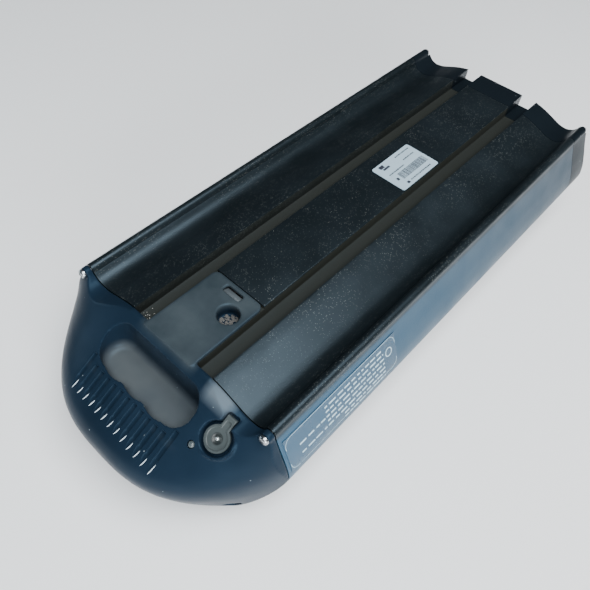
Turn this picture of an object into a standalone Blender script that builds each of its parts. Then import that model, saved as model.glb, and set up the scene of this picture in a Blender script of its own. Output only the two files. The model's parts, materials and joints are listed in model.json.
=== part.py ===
"""Slide-on lithium battery pack for an electric bicycle, lying with its mounting side up.

A black extruded aluminium sleeve holds ten pouch cells in series and their protection board.
A domed plastic cap with a finger grip, charge jack and lock hole closes the -Y end. A shallower
plastic cap with the discharge connector closes the +Y end. Two rail grooves run along the top.

Units are metres and +Z is up. The origin is under the middle of the pack, on the face it lies on.
The length runs along Y: the grip is at -Y and the connector at +Y.
"""
import math

import bmesh
import bpy
from mathutils import Matrix, Vector

# ---------------------------------------------------------------- driving dimensions
RIM_HEIGHT = 0.076            # underside to the top of the central land and the rim beads
HALF_WIDTH = 0.0795           # at the widest level of the side walls
HOUSING_LENGTH = 0.293
HANDLE_CAP_LENGTH = 0.054
CONNECTOR_CAP_LENGTH = 0.021
WALL = 0.002                  # aluminium wall
PLASTIC_WALL = 0.0026
GAP = 0.0003                  # between pieces that touch
GASKET_THICKNESS = 0.0008
SPIGOT_LENGTH = 0.0055        # each cap's collar inside the sleeve
LIP_WIDTH = 0.0005            # each cap's lip round its gasket

LENGTH = HANDLE_CAP_LENGTH + HOUSING_LENGTH + CONNECTOR_CAP_LENGTH
NOSE_Y = -LENGTH / 2
SEAM_Y = NOSE_Y + HANDLE_CAP_LENGTH
FAR_SEAM_Y = SEAM_Y + HOUSING_LENGTH
END_Y = LENGTH / 2
SEAL_STEP = GASKET_THICKNESS + 2 * GAP     # from the sleeve's end to a cap's edge

# ---------------------------------------------------------------- cross-section
# Points are (x, depth below the rim) for the +X half.
LAND_HALF = 0.0174
GROOVE_OUTER = 0.0287
GROOVE_DEPTH = 0.008
WING_POINTS = [(0.0287, 0.0003), (0.0360, 0.0021), (0.0440, 0.0050), (0.0510, 0.0075),
               (0.0560, 0.0080), (0.0600, 0.0066), (0.0632, 0.0036)]
BEAD_X, BEAD_DEPTH, BEAD_RADIUS = 0.0664, 0.0030, 0.0030
SIDE_POINTS = [(0.0694, 0.0036), (0.0724, 0.0120), (0.0760, 0.0210), (0.0786, 0.0290),
               (HALF_WIDTH, 0.0355), (0.0777, 0.0430), (0.0730, 0.0515), (0.0668, 0.0590),
               (0.0600, 0.0655), (0.0515, 0.0715), (0.0430, 0.0760)]

# The cap's nose: (reach beyond the seam, depth), read in a length-wise section at x = 0.
NOSE_POINTS = [(0.0010, -0.0008), (0.0045, 0.0016), (0.0085, 0.0042), (0.0140, 0.0078), (0.0205, 0.0118),
               (0.0270, 0.0158), (0.0335, 0.0195), (0.0400, 0.0232), (0.0460, 0.0272), (0.0505, 0.0316),
               (0.0532, 0.0366), (0.0540, 0.0420), (0.0523, 0.0490), (0.0479, 0.0575),
               (0.0413, 0.0650), (0.0319, 0.0715), (0.0214, 0.0750), (0.0111, 0.0768)]
DOME_HALF_WIDTH = HALF_WIDTH + 0.0006     # of the lens shapes that the dome is stacked from
DOME_POWER = 2.8                          # how blunt those lens shapes are

# ---------------------------------------------------------------- cap features
# y values here are distances from the seam, positive towards the nose.
RECESS_NEAR_Y, RECESS_FAR_Y = 0.0270, 0.0070
RECESS_HALF_LENGTH = 0.0325
RECESS_FLOOR_DEPTH = 0.0255
SCALLOP_DEPTH = 0.0014
RECESS_MIDDLE_Y = (RECESS_NEAR_Y + RECESS_FAR_Y) / 2
RECESS_RADIUS = (RECESS_NEAR_Y - RECESS_FAR_Y) / 2
RIB_COUNT, RIB_PITCH, RIB_START_X = 13, 0.0051, -0.0304
RIB_NEAR_Y, RIB_SLANT = 0.0452, 0.036     # the grooves' nose ends lie on a slanting line
RIB_MARGIN = 0.0026                       # from the recess's rim to the grooves
RIB_WIDTH, RIB_DEPTH = 0.0030, 0.0012
# (share of the length from the nose end, share of the full section)
RIB_TAPER = [(0.0, 0.06), (0.10, 0.50), (0.24, 0.86), (0.40, 1.0), (0.92, 1.0), (1.0, 0.45)]

TONGUE_LENGTH = 0.0455
TONGUE_THICKNESS = 0.0026
TONGUE_PROUD = 0.0004
LOCK_HOLE = (0.0080, 0.0295)          # x, distance from the seam on the sleeve side
LOCK_HOLE_RADIUS = 0.0060
LOCK_HOLE_DEPTH, LOCK_CUP_WALL, LOCK_CUP_FLOOR = 0.0080, 0.0018, 0.0014
CLIP_WINDOW_Y, CLIP_WINDOW_SIZE = 0.0405, (0.0116, 0.0044)

PORT_X, PORT_Y, PORT_DEPTH = 0.0475, 0.0160, 0.0130
PORT_TILT = math.radians(30)
PORT_POCKET_RADIUS = 0.0083
PORT_FLOOR = -0.0035                  # along the tilted axis, from the cover's top
COVER_RADIUS, COVER_THICKNESS = 0.00665, 0.0018
COVER_TAB_HALF, COVER_HINGE_REACH = 0.0027, 0.0112
LED_X, LED_Y, LED_RADIUS = 0.0396, 0.0250, 0.0017

SCREW_RADIUS, SCREW_HOLE_RADIUS = 0.0014, 0.0017
SCREW_HEAD_RADIUS, COUNTERBORE_RADIUS = 0.0027, 0.0032
SCREW_LENGTH, FAR_SCREW_LENGTH = 0.0120, 0.0280
HEAD_SEAT = 0.0024                    # plastic under the heads at the grip end
FAR_HEAD_SEAT = 0.0032                # depth of the heads' seats below the connector end's face
LOWER_BOSS = (0.0633, 0.0553)         # x, depth of the lower screw channels
BOSS_RADIUS = 0.0036

# ---------------------------------------------------------------- contents
CELL_SIZE = (0.104, 0.128, 0.0096)
CELL_PITCH = 0.0100
CELLS_PER_STACK = 5
STACK_BASE = RIM_HEIGHT - 0.0655
STACK_CENTRES_Y = (-0.0500, 0.0800)
SIDE_LEAD_X, SIDE_LEAD_DEPTH = 0.0665, 0.0400
POWER_LEAD_RADIUS, CHARGE_LEAD_RADIUS = 0.0017, 0.0011
CONNECTOR_SIZE = (0.0440, 0.0180)     # opening in the end cap, along X and Z
CONNECTOR_DEPTH_BELOW_RIM = 0.0400
BLADE_X = (-0.0120, 0.0120)
SIGNAL_X = (-0.0030, 0.0030)
TAB_BOARD_Y = (-0.1165, 0.1465)       # the boards' middles, outside the two stacks
BOARD_Y = 0.1535                      # protection board
MOSFET_X = (-0.0210, -0.0070, 0.0070, 0.0210)
FUSE_Y = 0.1150
SPEC_LABEL_SIZE, SPEC_LABEL_Y = (0.0255, 0.0375), 0.1675
SIDE_LABEL_LENGTH, SIDE_LABEL_Y, SIDE_LABEL_DEPTHS = 0.084, 0.002, (0.0090, 0.0315)
LABEL_THICKNESS, LABEL_GAP = 0.0002, 0.0001

# name: (colour, roughness, metallic)
MATERIALS = {
    "black_anodised": ((0.022, 0.027, 0.034), 0.38, 0.6),
    "cap_plastic": ((0.020, 0.034, 0.052), 0.42, 0.0),
    "black_rubber": ((0.012, 0.013, 0.014), 0.75, 0.0),
    "cover_rubber": ((0.050, 0.062, 0.068), 0.50, 0.0),
    "screw_steel": ((0.55, 0.56, 0.57), 0.25, 1.0),
    "nickel": ((0.62, 0.60, 0.56), 0.22, 1.0),
    "copper": ((0.72, 0.38, 0.22), 0.30, 1.0),
    "connector_black": ((0.015, 0.015, 0.016), 0.45, 0.0),
    "led_lens": ((0.75, 0.82, 0.80), 0.10, 0.0),
    "cell_foil": ((0.70, 0.71, 0.73), 0.30, 0.8),
    "board_green": ((0.020, 0.130, 0.060), 0.40, 0.0),
    "board_fibre": ((0.62, 0.55, 0.32), 0.55, 0.0),
    "insulation": ((0.86, 0.84, 0.76), 0.70, 0.0),
    "foam": ((0.080, 0.080, 0.085), 0.90, 0.0),
    "heatsink": ((0.68, 0.69, 0.70), 0.35, 1.0),
    "lead_red": ((0.55, 0.03, 0.03), 0.45, 0.0),
    "lead_black": ((0.015, 0.015, 0.015), 0.45, 0.0),
    "ribbon_grey": ((0.45, 0.46, 0.47), 0.50, 0.0),
    "fuse_plastic": ((0.60, 0.28, 0.04), 0.20, 0.0),
    "label_white": ((0.82, 0.84, 0.86), 0.40, 0.0),
    "label_clear": ((0.060, 0.110, 0.150), 0.20, 0.0),
}


# ---------------------------------------------------------------- scene helpers
def clear_scene():
    for item in list(bpy.data.objects):
        bpy.data.objects.remove(item, do_unlink=True)


def make_collection(name):
    collection = bpy.data.collections.new(name)
    bpy.context.scene.collection.children.link(collection)
    return collection


def make_materials():
    for name, (colour, roughness, metallic) in MATERIALS.items():
        material = bpy.data.materials.new(name)
        material.use_nodes = True
        shader = material.node_tree.nodes["Principled BSDF"]
        shader.inputs["Base Color"].default_value = (*colour, 1.0)
        shader.inputs["Roughness"].default_value = roughness
        shader.inputs["Metallic"].default_value = metallic


def add_object(name, mesh, material=None):
    item = bpy.data.objects.new(name, mesh)
    PACK.objects.link(item)
    if material:
        item.data.materials.append(bpy.data.materials[material])
    return item


def object_from_bmesh(name, form, frame=None, material=None):
    if frame is not None:
        bmesh.ops.transform(form, matrix=frame, verts=form.verts)
    mesh = bpy.data.meshes.new(name)
    form.to_mesh(mesh)
    form.free()
    return add_object(name, mesh, material)


def set_material(item, material):
    item.data.materials.clear()
    item.data.materials.append(bpy.data.materials[material])


def apply_modifiers(item):
    """Replace the mesh by its evaluated form, so that later cuts read plain geometry."""
    graph = bpy.context.evaluated_depsgraph_get()
    mesh = bpy.data.meshes.new_from_object(item.evaluated_get(graph))
    item.modifiers.clear()
    item.data = mesh


def combine(target, other, operation):
    """Boolean the target with another object, which is used up."""
    modifier = target.modifiers.new(operation, "BOOLEAN")
    modifier.operation = operation
    modifier.object = other
    apply_modifiers(target)
    bpy.data.objects.remove(other, do_unlink=True)
    return target


def cut(target, *cutters):
    for cutter in cutters:
        combine(target, cutter, "DIFFERENCE")
    return target


def join(target, *others):
    for other in others:
        combine(target, other, "UNION")
    return target


def shade_smooth(item, degrees=35):
    item.data.shade_smooth()
    item.data.set_sharp_from_angle(angle=math.radians(degrees))


# ---------------------------------------------------------------- shape helpers
def smooth_curve(points, steps):
    """Cubic curve through the points, with this many steps between neighbours."""
    points = [Vector(point) for point in points]
    lengths = [(end - start).length for start, end in zip(points, points[1:])]
    slopes = [(end - start) / length for start, end, length in zip(points, points[1:], lengths)]
    headings = [slopes[0]]
    for index in range(1, len(slopes)):
        before, after = lengths[index - 1], lengths[index]
        headings.append((slopes[index - 1] * after + slopes[index] * before) / (before + after))
    headings.append(slopes[-1])
    curve = []
    for index, length in enumerate(lengths):
        start, end = points[index], points[index + 1]
        leave, arrive = headings[index] * length, headings[index + 1] * length
        for step in range(steps):
            t = step / steps
            curve.append(start * (2 * t ** 3 - 3 * t ** 2 + 1) + leave * (t ** 3 - 2 * t ** 2 + t)
                         + end * (3 * t ** 2 - 2 * t ** 3) + arrive * (t ** 3 - t ** 2))
    curve.append(points[-1])
    return curve


def arc(centre, radius, start, end, steps):
    """Points (x, depth) on a circle, with angles in degrees from +X towards the top."""
    points = []
    for step in range(steps + 1):
        angle = math.radians(start + (end - start) * step / steps)
        points.append(Vector((centre[0] + radius * math.cos(angle), centre[1] - radius * math.sin(angle))))
    return points


def inset(points, distance):
    """Move an open run of (x, depth) points sideways, to the right of its direction of travel."""
    moved = []
    for index, point in enumerate(points):
        before = points[max(index - 1, 0)]
        after = points[min(index + 1, len(points) - 1)]
        along = (Vector(after) - Vector(before)).normalized()
        moved.append(Vector(point) + distance * Vector((-along[1], along[0])))
    return moved


def mirrored(half):
    """Close a +X half outline with its mirror image."""
    return list(half) + [Vector((-point[0], point[1])) for point in reversed(half)]


def side_curve(inward=0.0, steps=2):
    return inset(smooth_curve(SIDE_POINTS, steps), inward)


def top_half(with_groove):
    start = [Vector((GROOVE_OUTER - 0.001, 0.0))]
    if with_groove:
        start = [Vector((LAND_HALF, 0.0)), Vector((LAND_HALF, GROOVE_DEPTH)),
                 Vector((GROOVE_OUTER, GROOVE_DEPTH))]
    wing = smooth_curve(WING_POINTS, 2)
    bead = arc((BEAD_X, BEAD_DEPTH), BEAD_RADIUS, 168, 12, 6)
    return start + wing + bead


def sleeve_outline(with_groove=True):
    return mirrored(top_half(with_groove) + side_curve())


def shrunk(outline, distance):
    """The closed outline moved inwards by a distance, with its corners kept sharp."""
    points = []
    for index, point in enumerate(outline):
        before = (point - outline[index - 1]).normalized()
        after = (outline[(index + 1) % len(outline)] - point).normalized()
        normal = Vector((-before[1], before[0])) + Vector((-after[1], after[0]))
        points.append(point + distance * 2 * normal / normal.length_squared)
    return points


def inner_outline(inward, top_depth):
    """The body below the wings, inset from the side walls and flat at the given depth on top."""
    side = [point for point in side_curve(inward) if point[1] > top_depth + 0.001]
    return mirrored([Vector((side[0][0] - 0.004, top_depth))] + side)


def world(point, y):
    return Vector((point[0], y, RIM_HEIGHT - point[1]))


def loft(name, sections, material=None):
    """A closed solid through outlines that have equal point counts, each with its own y."""
    form = bmesh.new()
    rings = [[form.verts.new(world(point, y)) for point in outline] for outline, y in sections]
    for ring, following in zip(rings, rings[1:]):
        for index in range(len(ring)):
            after = (index + 1) % len(ring)
            form.faces.new((ring[index], ring[after], following[after], following[index]))
    form.faces.new(reversed(rings[0]))
    form.faces.new(rings[-1])
    return object_from_bmesh(name, form, material=material)


def prism(name, outline, y_start, y_end, material=None):
    return loft(name, [(outline, y_start), (outline, y_end)], material)


def box(name, size, centre, material=None, bevel=0.0, frame=None):
    form = bmesh.new()
    bmesh.ops.create_cube(form, size=1.0)
    bmesh.ops.scale(form, vec=size, verts=form.verts)
    if bevel:
        bmesh.ops.bevel(form, geom=form.edges[:], offset=bevel, segments=2, profile=0.5, affect="EDGES")
    bmesh.ops.translate(form, vec=centre, verts=form.verts)
    return object_from_bmesh(name, form, frame, material)


def cylinder(name, radius, bottom, top, frame, material=None, segments=24):
    form = bmesh.new()
    bmesh.ops.create_cone(form, cap_ends=True, segments=segments, radius1=radius, radius2=radius,
                          depth=top - bottom)
    bmesh.ops.translate(form, vec=(0, 0, (top + bottom) / 2), verts=form.verts)
    return object_from_bmesh(name, form, frame, material)


def turned(name, profile, frame, material, steps=16):
    """Turn a profile of (radius, height) points, given from top to bottom, about the frame's Z."""
    form = bmesh.new()
    points = [form.verts.new((radius, 0.0, height)) for radius, height in profile]
    for start, end in zip(points, points[1:]):
        form.edges.new((start, end))
    item = object_from_bmesh(name, form)
    screw = item.modifiers.new("turn", "SCREW")
    screw.steps = screw.render_steps = steps
    screw.use_merge_vertices = True
    screw.merge_threshold = 0.00001
    apply_modifiers(item)
    item.data.transform(frame)
    set_material(item, material)
    shade_smooth(item)
    return item


def plate(name, outline, bottom, top, frame, material=None):
    """A flat outline of (x, y) points, counter-clockwise, made solid between two heights."""
    form = bmesh.new()
    face = form.faces.new([form.verts.new((point[0], point[1], bottom)) for point in outline])
    lifted = bmesh.ops.extrude_face_region(form, geom=[face])["geom"]
    upper = [item for item in lifted if isinstance(item, bmesh.types.BMVert)]
    bmesh.ops.translate(form, vec=(0, 0, top - bottom), verts=upper)
    bmesh.ops.recalc_face_normals(form, faces=form.faces)
    return object_from_bmesh(name, form, frame, material)


def tube(name, route, radius, material, steps=2):
    """A round lead along a smooth route, as a curve with filled ends."""
    points = smooth_curve(route, steps)
    curve = bpy.data.curves.new(name, "CURVE")
    curve.dimensions = "3D"
    curve.bevel_depth = radius
    curve.bevel_resolution = 1
    curve.use_fill_caps = True
    spline = curve.splines.new("POLY")
    spline.points.add(len(points) - 1)
    for target, point in zip(spline.points, points):
        target.co = (*point, 1.0)
    lead = add_object(name, curve)
    graph = bpy.context.evaluated_depsgraph_get()
    form = bmesh.new()
    form.from_mesh(bpy.data.meshes.new_from_object(lead.evaluated_get(graph)))
    bpy.data.objects.remove(lead, do_unlink=True)
    bmesh.ops.remove_doubles(form, verts=form.verts, dist=0.000001)
    bmesh.ops.recalc_face_normals(form, faces=form.faces)
    solid = object_from_bmesh(name, form, material=material)
    shade_smooth(solid)
    return solid


def along_y(x, depth, y=0.0):
    """A frame at (x, y) and this depth whose +Z points to -Y, out of the grip end."""
    return Matrix.Translation((x, y, RIM_HEIGHT - depth)) @ Matrix.Rotation(math.radians(90), 4, "X")


def port_frame():
    place = Matrix.Translation((PORT_X, SEAM_Y - PORT_Y, RIM_HEIGHT - PORT_DEPTH))
    return place @ Matrix.Rotation(PORT_TILT, 4, "X")


def led_frame():
    depth = nose_depth(LED_Y / plan_factor(LED_X))
    place = Matrix.Translation((LED_X, SEAM_Y - LED_Y, RIM_HEIGHT - depth))
    return place @ Matrix.Rotation(PORT_TILT, 4, "X")


# ---------------------------------------------------------------- aluminium sleeve
SCREW_PLACES = [(BEAD_X, BEAD_DEPTH), LOWER_BOSS, (-LOWER_BOSS[0], LOWER_BOSS[1]), (-BEAD_X, BEAD_DEPTH)]


def open_tube(name, outline, y_start, y_end, thickness):
    """A shell that is open at both ends: the outline's surface, thickened inwards."""
    form = bmesh.new()
    rings = [[form.verts.new(world(point, y)) for point in outline] for y in (y_start, y_end)]
    for index in range(len(outline)):
        after = (index + 1) % len(outline)
        form.faces.new((rings[0][index], rings[0][after], rings[1][after], rings[1][index]))
    item = object_from_bmesh(name, form)
    shell = item.modifiers.new("wall", "SOLIDIFY")
    shell.thickness = thickness
    shell.offset = -1
    shell.use_even_offset = True
    apply_modifiers(item)
    return item


def screw_hole_cutters(y_low, y_high):
    return [cylinder("screw_hole", SCREW_HOLE_RADIUS, -y_high, -y_low, along_y(x, depth), segments=12)
            for x, depth in SCREW_PLACES]


def make_housing():
    housing = open_tube("housing_extrusion", sleeve_outline(), SEAM_Y, FAR_SEAM_Y, WALL)
    for x, depth in SCREW_PLACES[1:3]:
        channel = cylinder("channel", BOSS_RADIUS, -FAR_SEAM_Y, -SEAM_Y, along_y(x, depth), segments=16)
        join(housing, channel)
    margin = 0.001
    cut(housing, *screw_hole_cutters(SEAM_Y - margin, FAR_SEAM_Y + margin))
    cut(housing, tongue_room(), lock_cup("lock_room", LOCK_CUP_WALL + 0.0004, 0.012))
    set_material(housing, "black_anodised")
    shade_smooth(housing, 30)


def tongue_room():
    """The land is milled down at the grip end, where the cap's tongue lies."""
    low_y, high_y = SEAM_Y - 0.003, SEAM_Y + TONGUE_LENGTH + GAP
    depth = TONGUE_THICKNESS - TONGUE_PROUD
    return box("tongue_room", (2 * LAND_HALF + 0.001, high_y - low_y, 2 * depth),
               (0, (low_y + high_y) / 2, RIM_HEIGHT))


def make_gasket(name, y_start):
    """A flat seal on the sleeve's end wall, set in from its outer face by the cap's lip."""
    y_end = y_start + GASKET_THICKNESS
    gasket = prism(name, shrunk(sleeve_outline(), LIP_WIDTH + GAP), y_start, y_end)
    cut(gasket, prism("gasket_bore", shrunk(sleeve_outline(), WALL), y_start - 0.001, y_end + 0.001))
    cut(gasket, *screw_hole_cutters(y_start - 0.001, y_end + 0.001))
    cut(gasket, tongue_room())
    set_material(gasket, "black_rubber")
    return gasket


def gasket_room(y_start, y_end):
    """The rebate in a cap's edge that leaves a thin lip round the gasket."""
    return prism("gasket_room", shrunk(sleeve_outline(), LIP_WIDTH), y_start, y_end)


# ---------------------------------------------------------------- handle cap
def plan_factor(x):
    """The dome's reach at x, as a share of its reach on the centre line."""
    return max(0.0, 1 - abs(x / DOME_HALF_WIDTH) ** DOME_POWER)


def nose_depth(reach):
    """Depth of the dome's top on the centre line, at this distance from the seam."""
    upper = [point for point in smooth_curve(NOSE_POINTS, 4) if point[1] <= 0.042]
    for start, end in zip(upper, upper[1:]):
        if start[0] <= reach <= end[0]:
            return start[1] + (end[1] - start[1]) * (reach - start[0]) / (end[0] - start[0])
    return upper[-1][1]


def dome(name, inward, steps, segments, y_seam):
    """Stacked lens shapes of one width, whose length follows the nose section."""
    section = inset(smooth_curve(NOSE_POINTS, steps), inward)
    section = [point for point in section if point[0] > 0.0005]
    form = bmesh.new()
    rings = []
    for reach, depth in section:
        ring = []
        for step in range(segments):
            angle = 2 * math.pi * step / segments
            x = (DOME_HALF_WIDTH - inward) * math.cos(angle)
            y = math.copysign(reach * (1 - abs(math.cos(angle)) ** DOME_POWER), math.sin(angle))
            ring.append(form.verts.new((x, y_seam + y, RIM_HEIGHT - depth)))
        rings.append(ring)
    for ring, following in zip(rings, rings[1:]):
        for index in range(segments):
            after = (index + 1) % segments
            form.faces.new((ring[after], ring[index], following[index], following[after]))
    form.faces.new(rings[0])
    form.faces.new(reversed(rings[-1]))
    return object_from_bmesh(name, form)


def recess_outline(outward=0.0):
    """The finger recess in plan: a stadium whose grip side has three finger scallops."""
    middle_y, radius = SEAM_Y - RECESS_MIDDLE_Y, RECESS_RADIUS
    straight = RECESS_HALF_LENGTH - radius
    outline = []
    for step in range(9):
        angle = math.radians(-90 + 180 * step / 8)
        outline.append((straight + (radius + outward) * math.cos(angle),
                        middle_y + (radius + outward) * math.sin(angle)))
    for step in range(9):
        angle = math.radians(90 + 180 * step / 8)
        outline.append((-straight + (radius + outward) * math.cos(angle),
                        middle_y + (radius + outward) * math.sin(angle)))
    scallops, samples = 3, 24
    for step in range(1, samples):
        part = step / samples
        bulge = SCALLOP_DEPTH * abs(math.sin(math.pi * scallops * part))
        outline.append((-straight + 2 * straight * part, middle_y - radius - outward - bulge))
    return outline


def recess_solid(name, outward):
    floor = RIM_HEIGHT - RECESS_FLOOR_DEPTH - outward
    pocket = plate(name, recess_outline(outward), floor, RIM_HEIGHT + 0.010, Matrix())
    form = bmesh.new()
    form.from_mesh(pocket.data)
    rim = [edge for edge in form.edges if all(vert.co.z < floor + GAP for vert in edge.verts)]
    bmesh.ops.bevel(form, geom=rim, offset=0.0042 + outward, segments=3, profile=0.5, affect="EDGES")
    form.to_mesh(pocket.data)
    form.free()
    return pocket


def rib_cutter(index):
    """One finger-grip groove: it starts by the recess and tapers to a point down the nose."""
    x = RIB_START_X + RIB_PITCH * index
    past_straight = max(0.0, abs(x) - (RECESS_HALF_LENGTH - RECESS_RADIUS))
    far = RECESS_MIDDLE_Y + math.sqrt(RECESS_RADIUS ** 2 - past_straight ** 2) + RIB_MARGIN
    near = RIB_NEAR_Y + RIB_SLANT * x
    form = bmesh.new()
    rings = []
    for part, size in RIB_TAPER:
        reach = near + (far - near) * part
        middle = Vector((x, SEAM_Y - reach, RIM_HEIGHT - nose_depth(reach / plan_factor(x))))
        ring = []
        for step in range(8):
            angle = math.radians(45 * step)
            section = Vector((RIB_WIDTH / 2 * math.cos(angle), 0, RIB_DEPTH * math.sin(angle)))
            ring.append(form.verts.new(middle + size * section))
        rings.append(ring)
    for ring, following in zip(rings, rings[1:]):
        for corner in range(8):
            after = (corner + 1) % 8
            form.faces.new((ring[corner], ring[after], following[after], following[corner]))
    form.faces.new(rings[0])
    form.faces.new(rings[-1])
    bmesh.ops.recalc_face_normals(form, faces=form.faces)
    return object_from_bmesh("rib", form)


def cover_outline(outward=0.0, hinge_reach=COVER_HINGE_REACH):
    """Teardrop in the port's plane: a disc with a straight tab towards the hinge."""
    radius = COVER_RADIUS + outward
    tab = COVER_TAB_HALF + outward
    lift = math.acos(tab / radius)
    outline = [(tab, hinge_reach), (-tab, hinge_reach)]
    turn = 2 * math.pi - (math.pi - 2 * lift)
    for step in range(25):
        angle = math.pi - lift + turn * step / 24
        outline.append((radius * math.cos(angle), radius * math.sin(angle)))
    return outline


def port_cutters():
    pocket = cylinder("port_pocket", PORT_POCKET_RADIUS, PORT_FLOOR, 0.020, port_frame(), segments=32)
    notch_length = 0.0135
    notch = box("port_notch", (2 * COVER_TAB_HALF + 0.0012, notch_length, 0.020),
                (0, notch_length / 2, PORT_FLOOR + GAP + 0.010), frame=port_frame())
    shaft = cylinder("jack_hole", 0.0043, -0.030, PORT_FLOOR + 0.001, port_frame())
    return pocket, notch, shaft


def cap_cavity():
    """Space inside the handle cap, with the pocket, port and screw bosses left standing in it."""
    space = prism("cavity", inner_outline(PLASTIC_WALL, GROOVE_DEPTH + PLASTIC_WALL),
                  NOSE_Y - 0.005, SEAM_Y + 0.020)
    combine(space, dome("cavity_dome", PLASTIC_WALL + 0.0002, 1, 28, SEAM_Y), "INTERSECT")
    mouth = prism("mouth", inner_outline(PLASTIC_WALL, GROOVE_DEPTH + PLASTIC_WALL),
                  SEAM_Y - SEAL_STEP - 0.002, SEAM_Y + 0.010)
    join(space, mouth)
    cut(space, recess_solid("pocket_shell", PLASTIC_WALL - 0.0004))
    cut(space, cylinder("port_boss", PORT_POCKET_RADIUS + 0.002, PORT_FLOOR - 0.003, 0.020, port_frame()))
    for x, depth in SCREW_PLACES[1:3]:
        cut(space, cylinder("boss", COUNTERBORE_RADIUS + 0.0016, -SEAM_Y, -NOSE_Y, along_y(x, depth),
                            segments=16))
    return space


def cap_spigot(name, y_start, y_end):
    outer = inner_outline(WALL + 0.0004, GROOVE_DEPTH + WALL + 0.0005)
    inner = inner_outline(PLASTIC_WALL + WALL, GROOVE_DEPTH + WALL + PLASTIC_WALL)
    ring = prism(name, outer, y_start, y_end)
    cut(ring, prism("spigot_bore", inner, y_start - 0.001, y_end + 0.001))
    # Room for the sleeve's lower screw channels.
    for x, depth in SCREW_PLACES[1:3]:
        cut(ring, cylinder("channel_room", BOSS_RADIUS + 0.0004, -y_end - 0.001, -y_start + 0.001,
                           along_y(x, depth), segments=16))
    return ring


def tongue_outline():
    """In plan, with rounded corners at its free end."""
    half = LAND_HALF
    end_y = SEAM_Y + TONGUE_LENGTH
    radius = 0.004
    outline = [(-half, SEAM_Y - SEAL_STEP - 0.002), (half, SEAM_Y - SEAL_STEP - 0.002)]
    for centre_x, first in ((half - radius, 0), (radius - half, 90)):
        for step in range(6):
            angle = math.radians(first + 90 * step / 5)
            outline.append((centre_x + radius * math.cos(angle), end_y - radius + radius * math.sin(angle)))
    return outline


def lock_cup(name, wall, depth):
    top = RIM_HEIGHT + TONGUE_PROUD
    place = Matrix.Translation((LOCK_HOLE[0], SEAM_Y + LOCK_HOLE[1], 0))
    return cylinder(name, LOCK_HOLE_RADIUS + wall, top - depth, top - 0.0005, place)


def add_tongue(cap):
    top = RIM_HEIGHT + TONGUE_PROUD
    join(cap, plate("tongue", tongue_outline(), top - TONGUE_THICKNESS + GAP, top, Matrix()))
    join(cap, lock_cup("lock_cup", LOCK_CUP_WALL, LOCK_HOLE_DEPTH + LOCK_CUP_FLOOR))
    place = Matrix.Translation((LOCK_HOLE[0], SEAM_Y + LOCK_HOLE[1], 0))
    cut(cap, cylinder("lock_bore", LOCK_HOLE_RADIUS, top - LOCK_HOLE_DEPTH, top + 0.001, place))
    width, length = CLIP_WINDOW_SIZE
    cut(cap, box("clip_window", (width, length, 0.010), (0, SEAM_Y + CLIP_WINDOW_Y, top)))


def make_handle_cap():
    edge_y = SEAM_Y - SEAL_STEP
    cap = prism("handle_cap", sleeve_outline(with_groove=False), NOSE_Y - 0.010, SEAM_Y - GAP)
    combine(cap, dome("dome", 0.0, 1, 48, SEAM_Y), "INTERSECT")
    for x, depth in (SCREW_PLACES[0], SCREW_PLACES[3]):
        join(cap, cylinder("bead_end", BEAD_RADIUS, 0.0004 - SEAM_Y, HEAD_SEAT - edge_y, along_y(x, depth),
                           segments=20))
    join(cap, cylinder("port_collar", PORT_POCKET_RADIUS + 0.0014, PORT_FLOOR - 0.002, 0.0003, port_frame(),
                       segments=32))
    cut(cap, cap_cavity(), gasket_room(edge_y, SEAM_Y + 0.001))
    cut(cap, recess_solid("pocket", 0.0))
    cut(cap, *port_cutters())
    cut(cap, *[rib_cutter(index) for index in range(RIB_COUNT)])
    for x, depth in SCREW_PLACES:
        cut(cap, cylinder("counterbore", COUNTERBORE_RADIUS, HEAD_SEAT - edge_y, -NOSE_Y, along_y(x, depth),
                          segments=16))
    cut(cap, *screw_hole_cutters(edge_y - 0.010, SEAM_Y + 0.001))
    cut(cap, cylinder("led_hole", LED_RADIUS + GAP, -0.012, 0.006, led_frame(), segments=16))
    join(cap, cap_spigot("spigot", edge_y - 0.0015, SEAM_Y + SPIGOT_LENGTH))
    add_tongue(cap)
    set_material(cap, "cap_plastic")
    shade_smooth(cap)


def make_tongue_clip():
    """The snap hook under the tongue's window, with its sloping nose towards the connector end."""
    width, length = CLIP_WINDOW_SIZE
    y = SEAM_Y + CLIP_WINDOW_Y
    reach = length / 2 - GAP
    hook = [(-reach, 0.0066), (-reach, 0.0012), (-reach + 0.0008, 0.0007), (reach, 0.0024), (reach, 0.0066)]
    form = bmesh.new()
    half = width / 2 - GAP
    rings = [[form.verts.new((x, y + offset, RIM_HEIGHT - depth)) for offset, depth in hook]
             for x in (-half, half)]
    for index in range(len(hook)):
        after = (index + 1) % len(hook)
        form.faces.new((rings[0][index], rings[0][after], rings[1][after], rings[1][index]))
    form.faces.new(reversed(rings[0]))
    form.faces.new(rings[1])
    bmesh.ops.recalc_face_normals(form, faces=form.faces)
    object_from_bmesh("tongue_clip", form, material="cap_plastic")


def screw_profile(length):
    """Pan head above height 0, with a round driver recess, and a pointed shank below."""
    head = 0.0021
    radius = SCREW_HEAD_RADIUS
    return [(0.0, head - 0.0009), (0.0007, head - 0.0009), (0.0012, head), (radius * 0.6, head),
            (radius * 0.93, head * 0.62), (radius, 0.0), (SCREW_RADIUS, 0.0),
            (SCREW_RADIUS, 0.0015 - length), (0.0, -length)]


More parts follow.
